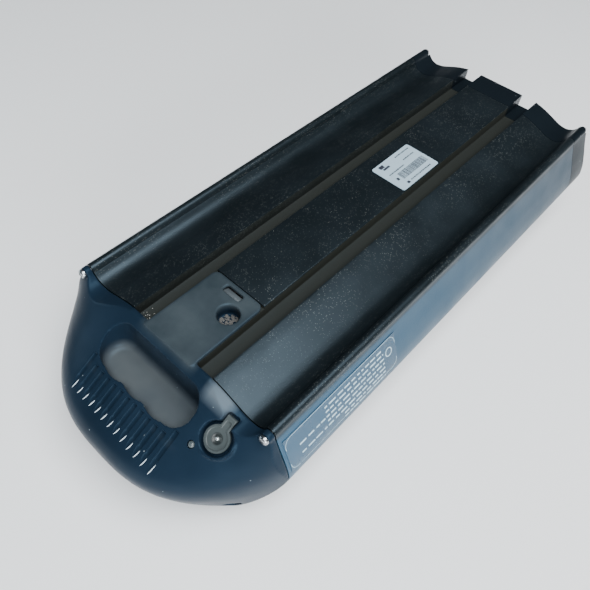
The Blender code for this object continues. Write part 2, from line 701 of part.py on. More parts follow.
def make_cap_screws():
    head_y = SEAM_Y - SEAL_STEP - HEAD_SEAT - GAP
    far_head_y = END_Y - FAR_HEAD_SEAT + GAP
    for number, (x, depth) in enumerate(SCREW_PLACES, start=1):
        turned(f"handle_cap_screw_{number}", screw_profile(SCREW_LENGTH), along_y(x, depth, head_y),
               "screw_steel", 10)
        outwards = along_y(x, depth, far_head_y) @ Matrix.Rotation(math.pi, 4, "X")
        turned(f"connector_cap_screw_{number}", screw_profile(FAR_SCREW_LENGTH), outwards, "screw_steel", 10)


# ---------------------------------------------------------------- charge port
def make_charge_jack():
    frame = port_frame()
    face = PORT_FLOOR + GAP + 0.0010
    flange, bush, bore, bore_depth, length = 0.0062, 0.0040, 0.00285, 0.0095, 0.0165
    body = turned("charge_jack_body",
                  [(0.0, face - bore_depth), (bore, face - bore_depth), (bore, face), (flange, face),
                   (flange, face - 0.0010), (bush, face - 0.0010), (bush, face - length),
                   (0.0, face - length)],
                  frame, "connector_black", 20)
    pin_hole = cylinder("pin_hole", 0.00105 + GAP, face - 0.020, face, frame, segments=12)
    cut(body, pin_hole)
    set_material(body, "connector_black")
    turned("charge_jack_pin", [(0.0, face - 0.0018), (0.0007, face - 0.0020), (0.00105, face - 0.0027),
                               (0.00105, face - 0.0185), (0.0, face - 0.0185)], frame, "nickel", 12)
    under = PORT_FLOOR - 0.003 - GAP
    nut = cylinder("charge_jack_nut", 0.0065, under - 0.0022, under, frame, segments=6)
    cut(nut, cylinder("nut_bore", bush + GAP, under - 0.004, under + 0.002, frame, segments=20))
    set_material(nut, "nickel")


def make_charge_port_cover():
    """Rubber flap over the jack. It swings about the round end of its tab."""
    frame = port_frame()
    barrel = 0.00095
    cover = plate("charge_port_cover", cover_outline(), -COVER_THICKNESS, 0.0, frame)
    well = cover_outline(-0.0011, COVER_HINGE_REACH - 0.0016)
    cut(cover, plate("rim_well", well, -0.0006, 0.002, frame))
    dimple = cylinder("dimple", 0.0028, -0.0014, 0.002, frame, segments=20)
    cut(cover, dimple)
    turn = frame @ Matrix.Translation((0, COVER_HINGE_REACH, -COVER_THICKNESS / 2))
    turn = turn @ Matrix.Rotation(math.radians(90), 4, "Y")
    join(cover, cylinder("barrel", barrel, -COVER_TAB_HALF, COVER_TAB_HALF, turn, segments=16))
    join(cover, cylinder("pip", 0.0010, -0.0016, -0.0003, frame, segments=12))
    stub = cylinder("stub", 0.0023, -COVER_THICKNESS - 0.0010, -COVER_THICKNESS + 0.0003, frame, segments=16)
    join(cover, stub)
    set_material(cover, "cover_rubber")
    shade_smooth(cover)


def make_cover_anchor():
    """The fixed end of the cover's strap, pressed into the floor of the notch."""
    top, thickness = -COVER_THICKNESS - 0.0004, 0.0007
    box("charge_cover_anchor", (2 * COVER_TAB_HALF - 0.0006, 0.0024, thickness),
        (0, COVER_HINGE_REACH - 0.0004, top - thickness / 2), "cover_rubber", frame=port_frame())


def make_led_lens():
    turned("charge_led_lens", [(0.0, 0.0005), (0.0010, 0.0003), (LED_RADIUS, -0.0006),
                               (LED_RADIUS, -0.0070), (0.0, -0.0070)], led_frame(), "led_lens", 12)


# ---------------------------------------------------------------- connector cap
def make_connector_cap():
    edge_y = FAR_SEAM_Y + SEAL_STEP
    outline = sleeve_outline()
    rounding = 0.0014
    sections = [(outline, FAR_SEAM_Y + GAP)]
    for angle in (0, math.radians(35), math.radians(90)):
        y = END_Y - rounding * (1 - math.sin(angle))
        sections.append((shrunk(outline, rounding * (1 - math.cos(angle))), y))
    cap = loft("connector_cap", sections)
    cut(cap, prism("cavity", inner_outline(PLASTIC_WALL, GROOVE_DEPTH + PLASTIC_WALL),
                   FAR_SEAM_Y - 0.001, END_Y - 0.003))
    cut(cap, gasket_room(FAR_SEAM_Y - 0.001, edge_y))
    width, height = CONNECTOR_SIZE
    centre_z = RIM_HEIGHT - CONNECTOR_DEPTH_BELOW_RIM
    cut(cap, box("connector_window", (width, 0.020, height), (0, END_Y, centre_z)))
    for x, depth in SCREW_PLACES[1:3]:
        join(cap, cylinder("boss", COUNTERBORE_RADIUS + 0.0016, 0.0005 - END_Y, -edge_y, along_y(x, depth),
                           segments=16))
    cut(cap, *screw_hole_cutters(FAR_SEAM_Y - 0.001, END_Y + 0.001))
    for x, depth in SCREW_PLACES:
        cut(cap, cylinder("counterbore", COUNTERBORE_RADIUS, -END_Y - 0.001, FAR_HEAD_SEAT - END_Y,
                          along_y(x, depth), segments=16))
    join(cap, cap_spigot("far_spigot", FAR_SEAM_Y - SPIGOT_LENGTH, edge_y + 0.0015))
    set_material(cap, "cap_plastic")
    shade_smooth(cap)


# ---------------------------------------------------------------- discharge connector
def make_discharge_connector():
    """A recessed two-blade socket with two small signal pins, behind the end cap's window."""
    width, height = (side - 2 * GAP for side in CONNECTOR_SIZE)
    back_y, front_y = END_Y - 0.0170, END_Y - 0.0006
    centre_z = RIM_HEIGHT - CONNECTOR_DEPTH_BELOW_RIM
    pocket_floor = front_y - 0.0100
    body = box("discharge_connector_body", (width, front_y - back_y, height),
               (0, (front_y + back_y) / 2, centre_z))
    flange_y = END_Y - 0.0030 - GAP
    flange = box("flange", (width + 0.008, 0.0015, height + 0.006), (0, flange_y - 0.00075, centre_z))
    join(body, flange)
    cut(body, box("socket", (width - 0.004, 0.020, height - 0.004), (0, pocket_floor + 0.010, centre_z)))
    blade_size, pin_radius = (0.0008, 0.0190, 0.0080), 0.0008
    for x in BLADE_X:
        slot = (blade_size[0] + 2 * GAP, 0.030, blade_size[2] + 2 * GAP)
        cut(body, box("blade_slot", slot, (x, pocket_floor, centre_z)))
    for x in SIGNAL_X:
        place = Matrix.Translation((x, 0, centre_z)) @ Matrix.Rotation(math.radians(90), 4, "X")
        cut(body, cylinder("pin_slot", pin_radius + GAP, -END_Y - 0.01, -END_Y + 0.03, place, segments=10))
    set_material(body, "connector_black")
    for name, x in zip(("discharge_blade_negative", "discharge_blade_positive"), BLADE_X):
        box(name, blade_size, (x, back_y + blade_size[1] / 2 - 0.0035, centre_z), "copper", bevel=0.0002)
    for number, x in enumerate(SIGNAL_X, start=1):
        place = Matrix.Translation((x, 0, centre_z)) @ Matrix.Rotation(math.radians(90), 4, "X")
        cylinder(f"signal_pin_{number}", pin_radius, -back_y - 0.0120, -back_y + 0.0020, place, "nickel", 10)


# ---------------------------------------------------------------- cells and electronics
def stack_top():
    return STACK_BASE + CELLS_PER_STACK * CELL_PITCH - (CELL_PITCH - CELL_SIZE[2])


def make_cells():
    number = 1
    for centre_y in STACK_CENTRES_Y:
        for layer in range(CELLS_PER_STACK):
            z = STACK_BASE + CELL_SIZE[2] / 2 + layer * CELL_PITCH
            box(f"pouch_cell_{number:02d}", CELL_SIZE, (0, centre_y, z), "cell_foil", bevel=0.0022)
            number += 1


def make_packing():
    """What holds the cells: a fibre tray, foam on top, and a sheet between the stacks."""
    low_y = STACK_CENTRES_Y[0] - CELL_SIZE[1] / 2
    high_y = STACK_CENTRES_Y[1] + CELL_SIZE[1] / 2
    middle_y = (low_y + high_y) / 2
    length = high_y - low_y
    tray_half, tray_floor, tray_wall, tray_lip, tray_chamfer = 0.0535, 0.0018, 0.0010, 0.014, 0.0014
    base = STACK_BASE - GAP
    foot = base - tray_floor
    right = [(tray_half - tray_chamfer, foot), (tray_half, foot + tray_chamfer),
             (tray_half, base + tray_lip), (tray_half - tray_wall, base + tray_lip),
             (tray_half - tray_wall, base)]
    tray = right + [(-x, z) for x, z in reversed(right)]
    upright = Matrix.Translation((0, high_y + 0.001, 0)) @ Matrix.Rotation(math.radians(90), 4, "X")
    plate("cell_tray", tray, 0.0, length + 0.002, upright, "board_fibre")
    foam_bottom = stack_top() + GAP
    foam_top = RIM_HEIGHT - GROOVE_DEPTH - WALL - 0.0006
    box("foam_top_pad", (CELL_SIZE[0] - 0.004, length, foam_top - foam_bottom),
        (0, middle_y, (foam_top + foam_bottom) / 2), "foam")
    gap_y = (STACK_CENTRES_Y[0] + STACK_CENTRES_Y[1]) / 2
    height = stack_top() - STACK_BASE
    box("stack_divider", (CELL_SIZE[0] - 0.002, 0.0010, height), (0, gap_y, STACK_BASE + height / 2),
        "insulation")


def board_centre_z():
    return (STACK_BASE + stack_top()) / 2


def make_tab_boards():
    """One board on the outer end of each stack, where the cells' tabs are soldered in series."""
    size = (0.100, 0.0016, 0.048)
    for name, y in (("tab_board_handle_end", TAB_BOARD_Y[0]), ("tab_board_connector_end", TAB_BOARD_Y[1])):
        board = box(name, size, (0, y, board_centre_z()), "board_fibre")
        for layer in range(CELLS_PER_STACK):
            for side in (-1, 1):
                z = STACK_BASE + CELL_SIZE[2] / 2 + layer * CELL_PITCH
                cut(board, box("tab_slot", (0.016, 0.004, 0.0014), (side * 0.028, y, z)))
        set_material(board, "board_fibre")


def make_protection_board():
    z = board_centre_z()
    front_y = BOARD_Y + 0.0008
    box("bms_board", (0.104, 0.0016, 0.046), (0, BOARD_Y, z), "board_green")
    for number, x in enumerate(MOSFET_X, start=1):
        mosfet = box(f"bms_mosfet_{number}", (0.0100, 0.0044, 0.0130),
                     (x, front_y + GAP + 0.0022, z + 0.012), "connector_black", bevel=0.0004)
        shade_smooth(mosfet)
    fin_count, fin_pitch, fin_thickness = 9, 0.0070, 0.0020
    base_y, base_thickness, fin_height = front_y + 0.0050, 0.0016, 0.0022
    half = (fin_count - 1) * fin_pitch / 2
    comb = [(-half - fin_thickness / 2, base_y), (half + fin_thickness / 2, base_y)]
    for index in reversed(range(fin_count)):
        x = -half + index * fin_pitch
        root, tip = base_y + base_thickness, base_y + base_thickness + fin_height
        comb += [(x + fin_thickness / 2, root), (x + fin_thickness / 2, tip),
                 (x - fin_thickness / 2, tip), (x - fin_thickness / 2, root)]
    # The outermost fins run straight down into the base, without a root corner.
    del comb[-1], comb[2]
    plate("bms_heatsink", comb, z + 0.006, z + 0.020, Matrix(), "heatsink")
    box("bms_shunt", (0.0140, 0.0012, 0.0050), (-0.030, front_y + GAP + 0.0006, z - 0.006), "copper",
        bevel=0.0003)
    box("balance_socket", (0.0300, 0.0040, 0.0060), (0.022, front_y + GAP + 0.0020, z - 0.014),
        "label_white")


def make_balance_ribbon():
    """Flat sense cable from the tab board, over the board's lower edge, to the balance socket."""
    z = board_centre_z()
    start_y, end_y = TAB_BOARD_Y[1] + 0.0008 + GAP, BOARD_Y + 0.0052 + 2 * GAP
    low = z - 0.0270
    thickness = 0.0006
    outer = [(start_y, z - 0.010), (start_y, low), (end_y + thickness, low), (end_y + thickness, z - 0.0115)]
    inner = [(end_y, z - 0.0115), (end_y, low + thickness), (start_y + thickness, low + thickness),
             (start_y + thickness, z - 0.010)]
    facing = Matrix(((0, 0, 1, 0.022), (1, 0, 0, 0), (0, 1, 0, 0), (0, 0, 0, 1)))
    plate("balance_ribbon", outer + inner, -0.012, 0.012, facing, "ribbon_grey")


def make_fuse():
    """A blade fuse in an open holder beside the stack."""
    holder_size = (0.0090, 0.0240, 0.0170)
    centre = (-SIDE_LEAD_X - 0.0008, FUSE_Y, RIM_HEIGHT - SIDE_LEAD_DEPTH)
    holder = box("fuse_holder", holder_size, centre)
    fuse_size = (0.0050, 0.0190, 0.0130)
    room = tuple(side + 2 * GAP for side in fuse_size)
    fuse_z = centre[2] + 0.0060
    cut(holder, box("fuse_room", room, (centre[0], centre[1], fuse_z)))
    set_material(holder, "connector_black")
    box("fuse", fuse_size, (centre[0], centre[1], fuse_z), "fuse_plastic", bevel=0.0006)


def make_leads():
    """Internal wiring along its real routes: cells to fuse and board, board to socket, jack to board."""
    z = board_centre_z()
    side_z = RIM_HEIGHT - SIDE_LEAD_DEPTH
    fuse_low, fuse_high = FUSE_Y - 0.0120 - GAP, FUSE_Y + 0.0120 + GAP
    handle_board_y = TAB_BOARD_Y[0] - 0.0022
    tube("cell_lead_positive",
         [(-0.044, handle_board_y - 0.0008, z + 0.012), (-0.056, handle_board_y - 0.0012, z + 0.009),
          (-0.0645, handle_board_y + 0.004, side_z + 0.002), (-SIDE_LEAD_X, -0.100, side_z),
          (-SIDE_LEAD_X, 0.0, side_z), (-SIDE_LEAD_X, fuse_low - 0.010, side_z),
          (-SIDE_LEAD_X, fuse_low, side_z)], POWER_LEAD_RADIUS, "lead_red")
    tube("fused_lead_positive",
         [(-SIDE_LEAD_X, fuse_high, side_z), (-SIDE_LEAD_X, fuse_high + 0.004, side_z),
          (-0.0640, BOARD_Y - 0.001, side_z - 0.001), (-0.0590, BOARD_Y + 0.0045, z - 0.002),
          (-0.0520, BOARD_Y + 0.0035, z - 0.004), (-0.0460, BOARD_Y + 0.0033, z - 0.004)],
         POWER_LEAD_RADIUS, "lead_red")
    tube("cell_lead_negative",
         [(0.044, TAB_BOARD_Y[1] + 0.0029, z + 0.016), (0.050, TAB_BOARD_Y[1] + 0.0030, z + 0.017),
          (0.0552, BOARD_Y - 0.0030, z + 0.018), (0.0560, BOARD_Y + 0.0010, z + 0.017),
          (0.0530, BOARD_Y + 0.0040, z + 0.016), (0.0460, BOARD_Y + 0.0033, z + 0.015)],
         POWER_LEAD_RADIUS, "lead_black")


def make_charge_leads():
    """From the jack under the handle cap, along the +X side of the stack, to the board."""
    frame = port_frame()
    exit_height = PORT_FLOOR + GAP + 0.0010 - 0.0165 - 0.0024 - GAP
    side_z = RIM_HEIGHT - SIDE_LEAD_DEPTH
    for name, material, spread, level in (("charge_lead_positive", "lead_red", 0.0016, 0.0035),
                                          ("charge_lead_negative", "lead_black", -0.0016, -0.0035)):
        start = frame @ Vector((spread, 0, exit_height))
        below = frame @ Vector((spread, 0, exit_height - 0.004))
        z = side_z + level
        along_side = [Vector((0.0560, SEAM_Y + 0.004, z + 0.004)), Vector((SIDE_LEAD_X, SEAM_Y + 0.022, z)),
                      Vector((SIDE_LEAD_X, 0.0, z)), Vector((SIDE_LEAD_X, 0.128, z))]
        to_board = [Vector((0.0640, BOARD_Y - 0.002, z)), Vector((0.0580, BOARD_Y + 0.0045, z - 0.004)),
                    Vector((0.0500, BOARD_Y + 0.0030, z - 0.0100)),
                    Vector((0.0460, BOARD_Y + 0.0026, z - 0.0100))]
        tube(name, [start, below] + along_side + to_board, CHARGE_LEAD_RADIUS, material)


# ---------------------------------------------------------------- labels
def make_spec_label():
    width, length = SPEC_LABEL_SIZE
    corner = 0.0015
    x_high = LAND_HALF - 0.0005
    y_low = SEAM_Y + SPEC_LABEL_Y
    outline = []
    for centre_x, centre_y, start in ((x_high - corner, y_low + corner, -90),
                                      (x_high - corner, y_low + length - corner, 0),
                                      (x_high - width + corner, y_low + length - corner, 90),
                                      (x_high - width + corner, y_low + corner, 180)):
        for step in range(4):
            angle = math.radians(start + 30 * step)
            outline.append((centre_x + corner * math.cos(angle), centre_y + corner * math.sin(angle)))
    plate("spec_label", outline, RIM_HEIGHT + LABEL_GAP, RIM_HEIGHT + LABEL_GAP + LABEL_THICKNESS, Matrix(),
          "label_white")


def make_side_label():
    """A clear decal bent round the +X side wall."""
    low, high = SIDE_LABEL_DEPTHS
    wall = [point for point in smooth_curve(SIDE_POINTS, 3) if low <= point[1] <= high]
    form = bmesh.new()
    outer = inset(wall, -LABEL_GAP - LABEL_THICKNESS)
    rings = [[form.verts.new(world(point, SEAM_Y + y)) for point in outer]
             for y in (SIDE_LABEL_Y, SIDE_LABEL_Y + SIDE_LABEL_LENGTH)]
    for index in range(len(wall) - 1):
        form.faces.new((rings[0][index], rings[0][index + 1], rings[1][index + 1], rings[1][index]))
    item = object_from_bmesh("side_label", form)
    shell = item.modifiers.new("film", "SOLIDIFY")
    shell.thickness = LABEL_THICKNESS
    shell.offset = -1
    apply_modifiers(item)
    set_material(item, "label_clear")
    shade_smooth(item)


clear_scene()
PACK = make_collection("battery_pack")
make_materials()
make_housing()
make_gasket("handle_cap_gasket", SEAM_Y - GAP - GASKET_THICKNESS)
make_gasket("connector_cap_gasket", FAR_SEAM_Y + GAP)
make_handle_cap()
make_tongue_clip()
make_cap_screws()
make_charge_jack()
make_charge_port_cover()
make_cover_anchor()
make_led_lens()
make_connector_cap()
make_discharge_connector()
make_cells()
make_packing()
make_tab_boards()
make_protection_board()
make_balance_ribbon()
make_fuse()
make_leads()
make_charge_leads()
make_spec_label()
make_side_label()
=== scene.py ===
"""Looks for the electric bicycle battery pack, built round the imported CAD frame.

The sleeve, the end caps, the port cover, the screws and the labels are finer versions of their
CAD nodes. Everything else keeps its CAD shape and gets a procedural material.
"""
import json
import math
import random

import bmesh
import bpy
from mathutils import Matrix, Vector

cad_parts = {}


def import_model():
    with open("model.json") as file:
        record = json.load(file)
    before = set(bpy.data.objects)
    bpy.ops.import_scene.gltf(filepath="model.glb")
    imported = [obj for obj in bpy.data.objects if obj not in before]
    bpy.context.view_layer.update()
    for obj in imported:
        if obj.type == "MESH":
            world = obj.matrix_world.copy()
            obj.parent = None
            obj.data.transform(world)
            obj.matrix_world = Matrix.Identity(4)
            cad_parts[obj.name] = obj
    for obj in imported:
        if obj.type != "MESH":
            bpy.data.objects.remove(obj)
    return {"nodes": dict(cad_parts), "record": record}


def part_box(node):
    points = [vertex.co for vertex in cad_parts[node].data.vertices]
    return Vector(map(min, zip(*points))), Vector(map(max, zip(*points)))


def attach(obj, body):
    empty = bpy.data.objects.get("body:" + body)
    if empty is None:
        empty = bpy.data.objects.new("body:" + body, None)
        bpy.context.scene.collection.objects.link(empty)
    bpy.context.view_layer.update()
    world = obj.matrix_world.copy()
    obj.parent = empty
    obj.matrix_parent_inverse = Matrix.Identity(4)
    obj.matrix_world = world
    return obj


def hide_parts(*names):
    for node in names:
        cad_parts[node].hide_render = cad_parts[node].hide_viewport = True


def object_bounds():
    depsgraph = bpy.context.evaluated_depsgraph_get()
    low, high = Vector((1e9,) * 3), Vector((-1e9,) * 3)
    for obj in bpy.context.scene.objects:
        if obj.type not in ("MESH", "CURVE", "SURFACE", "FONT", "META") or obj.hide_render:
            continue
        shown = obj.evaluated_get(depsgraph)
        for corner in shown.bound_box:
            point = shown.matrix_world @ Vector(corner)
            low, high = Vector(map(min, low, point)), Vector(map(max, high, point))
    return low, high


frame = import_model()
cad_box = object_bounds()
NODES = frame["nodes"]
random.seed(11)

# ---------------------------------------------------------------- places read from the frame
SLEEVE_LOW, SLEEVE_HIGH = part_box("housing_extrusion")
CAP_LOW, CAP_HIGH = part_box("handle_cap")
GASKET_LOW, GASKET_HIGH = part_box("connector_cap_gasket")
RIM_HEIGHT = SLEEVE_HIGH.z
HALF_WIDTH = SLEEVE_HIGH.x
SEAM_Y, FAR_SEAM_Y = SLEEVE_LOW.y, SLEEVE_HIGH.y
NOSE_Y, END_Y = CAP_LOW.y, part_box("connector_cap")[1].y
GAP = GASKET_LOW.y - FAR_SEAM_Y
SEAL_STEP = GASKET_HIGH.y + GAP - FAR_SEAM_Y
TONGUE_LENGTH = CAP_HIGH.y - SEAM_Y
TONGUE_TOP = CAP_HIGH.z
TONGUE_PROUD = TONGUE_TOP - RIM_HEIGHT

# ---------------------------------------------------------------- shapes, as in the CAD
# Section points are (x, depth below the rim) for the +X half.
WALL = 0.002
PLASTIC_WALL = 0.0026
LAND_HALF = 0.0174
GROOVE_OUTER = 0.0287
GROOVE_DEPTH = 0.008
WING_POINTS = [(0.0287, 0.0003), (0.0360, 0.0021), (0.0440, 0.0050), (0.0510, 0.0075),
               (0.0560, 0.0080), (0.0600, 0.0066), (0.0632, 0.0036)]
BEAD_X, BEAD_DEPTH, BEAD_RADIUS = 0.0664, 0.0030, 0.0030
SIDE_POINTS = [(0.0694, 0.0036), (0.0724, 0.0120), (0.0760, 0.0210), (0.0786, 0.0290),
               (HALF_WIDTH, 0.0355), (0.0777, 0.0430), (0.0730, 0.0515), (0.0668, 0.0590),
               (0.0600, 0.0655), (0.0515, 0.0715), (0.0430, 0.0760)]
NOSE_POINTS = [(0.0010, -0.0008), (0.0045, 0.0016), (0.0085, 0.0042), (0.0140, 0.0078), (0.0205, 0.0118),
               (0.0270, 0.0158), (0.0335, 0.0195), (0.0400, 0.0232), (0.0460, 0.0272), (0.0505, 0.0316),
               (0.0532, 0.0366), (0.0540, 0.0420), (0.0523, 0.0490), (0.0479, 0.0575),
               (0.0413, 0.0650), (0.0319, 0.0715), (0.0214, 0.0750), (0.0111, 0.0768)]
DOME_HALF_WIDTH, DOME_POWER = HALF_WIDTH + 0.0006, 2.8
RECESS_NEAR_Y, RECESS_FAR_Y, RECESS_HALF_LENGTH, RECESS_FLOOR_DEPTH = 0.0270, 0.0070, 0.0325, 0.0255
SCALLOP_DEPTH = 0.0014
RECESS_MIDDLE_Y = (RECESS_NEAR_Y + RECESS_FAR_Y) / 2
RECESS_RADIUS = (RECESS_NEAR_Y - RECESS_FAR_Y) / 2
RIB_COUNT, RIB_PITCH, RIB_START_X = 13, 0.0051, -0.0304
RIB_NEAR_Y, RIB_SLANT, RIB_MARGIN, RIB_WIDTH, RIB_DEPTH = 0.0452, 0.036, 0.0026, 0.0030, 0.0012
# (share of the length from the nose end, of the full width, of the full depth, and the section's
# roundness: 1 is an ellipse and less is squarer)
RIB_TAPER = [(0.0, 0.10, 0.03, 1.0), (0.08, 0.50, 0.16, 1.0), (0.20, 0.85, 0.36, 1.0),
             (0.32, 1.0, 0.62, 0.8), (0.44, 1.0, 1.0, 0.45), (0.92, 1.0, 1.0, 0.45), (1.0, 0.55, 0.45, 0.45)]
RIB_SIDES = 20
# The painted glint runs along this share of a groove.
GLINT_RADIUS, GLINT_SIDES, GLINT_SHARE = 0.00020, 8, 0.27
TONGUE_THICKNESS = 0.0026
LOCK_X, LOCK_Y, LOCK_RADIUS, LOCK_DEPTH = 0.0080, 0.0295, 0.0060, 0.0080
WINDOW_Y, WINDOW_SIZE = 0.0405, (0.0116, 0.0044)
PORT_X, PORT_Y, PORT_DEPTH, PORT_TILT = 0.0475, 0.0160, 0.0130, math.radians(30)
PORT_POCKET_RADIUS, PORT_FLOOR = 0.0083, -0.0035
COVER_RADIUS, COVER_THICKNESS, COVER_TAB_HALF, COVER_HINGE_REACH = 0.00665, 0.0018, 0.0027, 0.0112
LED_X, LED_Y, LED_RADIUS = 0.0396, 0.0250, 0.0017
SCREW_HOLE_RADIUS, COUNTERBORE_RADIUS, HEAD_SEAT = 0.0017, 0.0032, 0.0024
UPPER_SCREW, LOWER_SCREW = (BEAD_X, BEAD_DEPTH), (0.0633, 0.0553)
LIP_WIDTH = 0.0005
SCREW_PLACES = [UPPER_SCREW, LOWER_SCREW, (-LOWER_SCREW[0], LOWER_SCREW[1]), (-BEAD_X, BEAD_DEPTH)]
UPPER_PLACES, LOWER_PLACES = SCREW_PLACES[::3], SCREW_PLACES[1:3]
BOSS_RADIUS, BOSS_WALL = 0.0036, 0.0016
SPIGOT_LENGTH = 0.0055
RECESS_BEVEL = 0.0042
LOCK_CUP_WALL = 0.0018
SCREW_RADIUS, SCREW_HEAD_RADIUS, SCREW_HEAD_HEIGHT = 0.0014, 0.0027, 0.0021
FAR_HEAD_SEAT = 0.0032
CONNECTOR_SIZE = (0.0440, 0.0180)
LABEL_GAP, LABEL_THICKNESS, PRINT_THICKNESS, PRINT_HEIGHT = 0.0001, 0.0002, 0.00003, 0.0009
FIT_GAP, MARGIN = 0.0004, 0.001
JACK_HOLE_RADIUS, PIP_RADIUS, BARREL_RADIUS = 0.0043, 0.0010, 0.00095
CAP_VOXEL = 0.00064
COVER_VOXEL = 0.00017


# ---------------------------------------------------------------- mesh helpers
def object_from_bmesh(name, form, place=None):
    if place is not None:
        bmesh.ops.transform(form, matrix=place, verts=form.verts)
    mesh = bpy.data.meshes.new(name)
    form.to_mesh(mesh)
    form.free()
    item = bpy.data.objects.new(name, mesh)
    bpy.context.scene.collection.objects.link(item)
    return item


def apply_modifiers(item):
    graph = bpy.context.evaluated_depsgraph_get()
    mesh = bpy.data.meshes.new_from_object(item.evaluated_get(graph))
    item.modifiers.clear()
    item.data = mesh


def combine(target, other, operation):
    modifier = target.modifiers.new(operation, "BOOLEAN")
    modifier.operation = operation
    modifier.object = other
    apply_modifiers(target)
    bpy.data.objects.remove(other, do_unlink=True)


def cut(target, *cutters):
    for cutter in cutters:
        combine(target, cutter, "DIFFERENCE")


def join(target, *others):
    for other in others:
        combine(target, other, "UNION")


def merged(name, cutters):
    """Cutters that don't touch one another, as one object. Each cutter is removed."""
    form = bmesh.new()
    for cutter in cutters:
        form.from_mesh(cutter.data)
        bpy.data.objects.remove(cutter, do_unlink=True)
    return object_from_bmesh(name, form)


def shade_smooth(item, degrees=40):
    item.data.shade_smooth()
    item.data.set_sharp_from_angle(angle=math.radians(degrees))


def smooth_curve(points, steps):
    """Cubic curve through the points, with this many steps between neighbours."""
    points = [Vector(point) for point in points]
    lengths = [(end - start).length for start, end in zip(points, points[1:])]
    slopes = [(end - start) / length for start, end, length in zip(points, points[1:], lengths)]
    headings = [slopes[0]]
    for index in range(1, len(slopes)):
        before, after = lengths[index - 1], lengths[index]
        headings.append((slopes[index - 1] * after + slopes[index] * before) / (before + after))
    headings.append(slopes[-1])
    curve = []
    for index, length in enumerate(lengths):
        start, end = points[index], points[index + 1]
        leave, arrive = headings[index] * length, headings[index + 1] * length
        for step in range(steps):
            t = step / steps
            curve.append(start * (2 * t ** 3 - 3 * t ** 2 + 1) + leave * (t ** 3 - 2 * t ** 2 + t)
                         + end * (3 * t ** 2 - 2 * t ** 3) + arrive * (t ** 3 - t ** 2))
    curve.append(points[-1])
    return curve


def arc(centre, radius, start, end, steps):
    """Points (x, depth), with angles in degrees from +X towards the top."""
    points = []
    for step in range(steps + 1):
        angle = math.radians(start + (end - start) * step / steps)
        points.append(Vector((centre[0] + radius * math.cos(angle), centre[1] - radius * math.sin(angle))))
    return points


def inset(points, distance):
    moved = []
    for index, point in enumerate(points):
        along = (points[min(index + 1, len(points) - 1)] - points[max(index - 1, 0)]).normalized()
        moved.append(point + distance * Vector((-along[1], along[0])))
    return moved


def mirrored(half):
    return list(half) + [Vector((-point[0], point[1])) for point in reversed(half)]


def side_curve(inward=0.0, steps=6):
    return inset(smooth_curve(SIDE_POINTS, steps), inward)


def land_and_groove():
    """From the land's edge, down into the groove and up again, with small radii at each corner."""
    edge, corner = 0.0006, 0.0007
    points = arc((LAND_HALF - edge, edge), edge, 90, 0, 4)
    points += [Vector((LAND_HALF + corner - corner * math.cos(math.radians(a)),
                       GROOVE_DEPTH - corner + corner * math.sin(math.radians(a)))) for a in (0, 30, 60, 90)]
    points += [Vector((GROOVE_OUTER - corner + corner * math.sin(math.radians(a)),
                       GROOVE_DEPTH - corner + corner * math.cos(math.radians(a)))) for a in (0, 30, 60, 90)]
    return points


def wing_and_bead():
    lip = 0.0007
    start = Vector(WING_POINTS[0])
    turn = [start + Vector((0, lip)), start + Vector((0.0002, 0.0002)), start + Vector((lip, 0.0002))]
    wing = [point for point in smooth_curve(WING_POINTS, 6) if point[0] > start[0] + lip]
    return turn + wing + arc((BEAD_X, BEAD_DEPTH), BEAD_RADIUS, 166, 12, 20)


def sleeve_outline(with_groove=True, side_steps=6):
    land = land_and_groove() if with_groove else [Vector((GROOVE_OUTER - 0.001, 0.0))]
    top = wing_and_bead() if with_groove else wing_and_bead()[2:]
    return mirrored(land + top + side_curve(steps=side_steps))


def inner_outline(inward, top_depth):
    """The body below the wings, inset from the side walls and flat at the given depth on top."""
    side = [point for point in side_curve(inward, 3) if point[1] > top_depth + 0.001]
    return mirrored([Vector((side[0][0] - 0.004, top_depth))] + side)


def crisp_outline(steps):
    """The sleeve's section without the small corner radii."""
    groove = [Vector((LAND_HALF, 0.0)), Vector((LAND_HALF, GROOVE_DEPTH)),
              Vector((GROOVE_OUTER, GROOVE_DEPTH))]
    bead = arc((BEAD_X, BEAD_DEPTH), BEAD_RADIUS, 168, 12, 4 * steps)
    return mirrored(groove + smooth_curve(WING_POINTS, steps) + bead + side_curve(steps=steps))


def shrunk(outline, distance):
    """The closed outline moved inwards by a distance, with its corners kept sharp."""
    points = []
    for index, point in enumerate(outline):
        before = (point - outline[index - 1]).normalized()
        after = (outline[(index + 1) % len(outline)] - point).normalized()
        normal = Vector((-before[1], before[0])) + Vector((-after[1], after[0]))
        points.append(point + distance * 2 * normal / normal.length_squared)
    return points


def world(point, y):
    return Vector((point[0], y, RIM_HEIGHT - point[1]))


def bridge(form, rings):
    """Faces from ring to ring, and one over each end."""
    for ring, following in zip(rings, rings[1:]):
        for index in range(len(ring)):
            after = (index + 1) % len(ring)
            form.faces.new((ring[index], ring[after], following[after], following[index]))
    form.faces.new(reversed(rings[0]))
    form.faces.new(rings[-1])


def loft(name, sections):
    form = bmesh.new()
    bridge(form, [[form.verts.new(world(point, y)) for point in outline] for outline, y in sections])
    return object_from_bmesh(name, form)


def prism(name, outline, y_start, y_end):
    return loft(name, [(outline, y_start), (outline, y_end)])


def box(name, size, centre, place=None, bevel=0.0):
    form = bmesh.new()
    bmesh.ops.create_cube(form, size=1.0)
    bmesh.ops.scale(form, vec=size, verts=form.verts)
    if bevel:
        bmesh.ops.bevel(form, geom=form.edges[:], offset=bevel, segments=3, profile=0.5, affect="EDGES")
    bmesh.ops.translate(form, vec=centre, verts=form.verts)
    return object_from_bmesh(name, form, place)


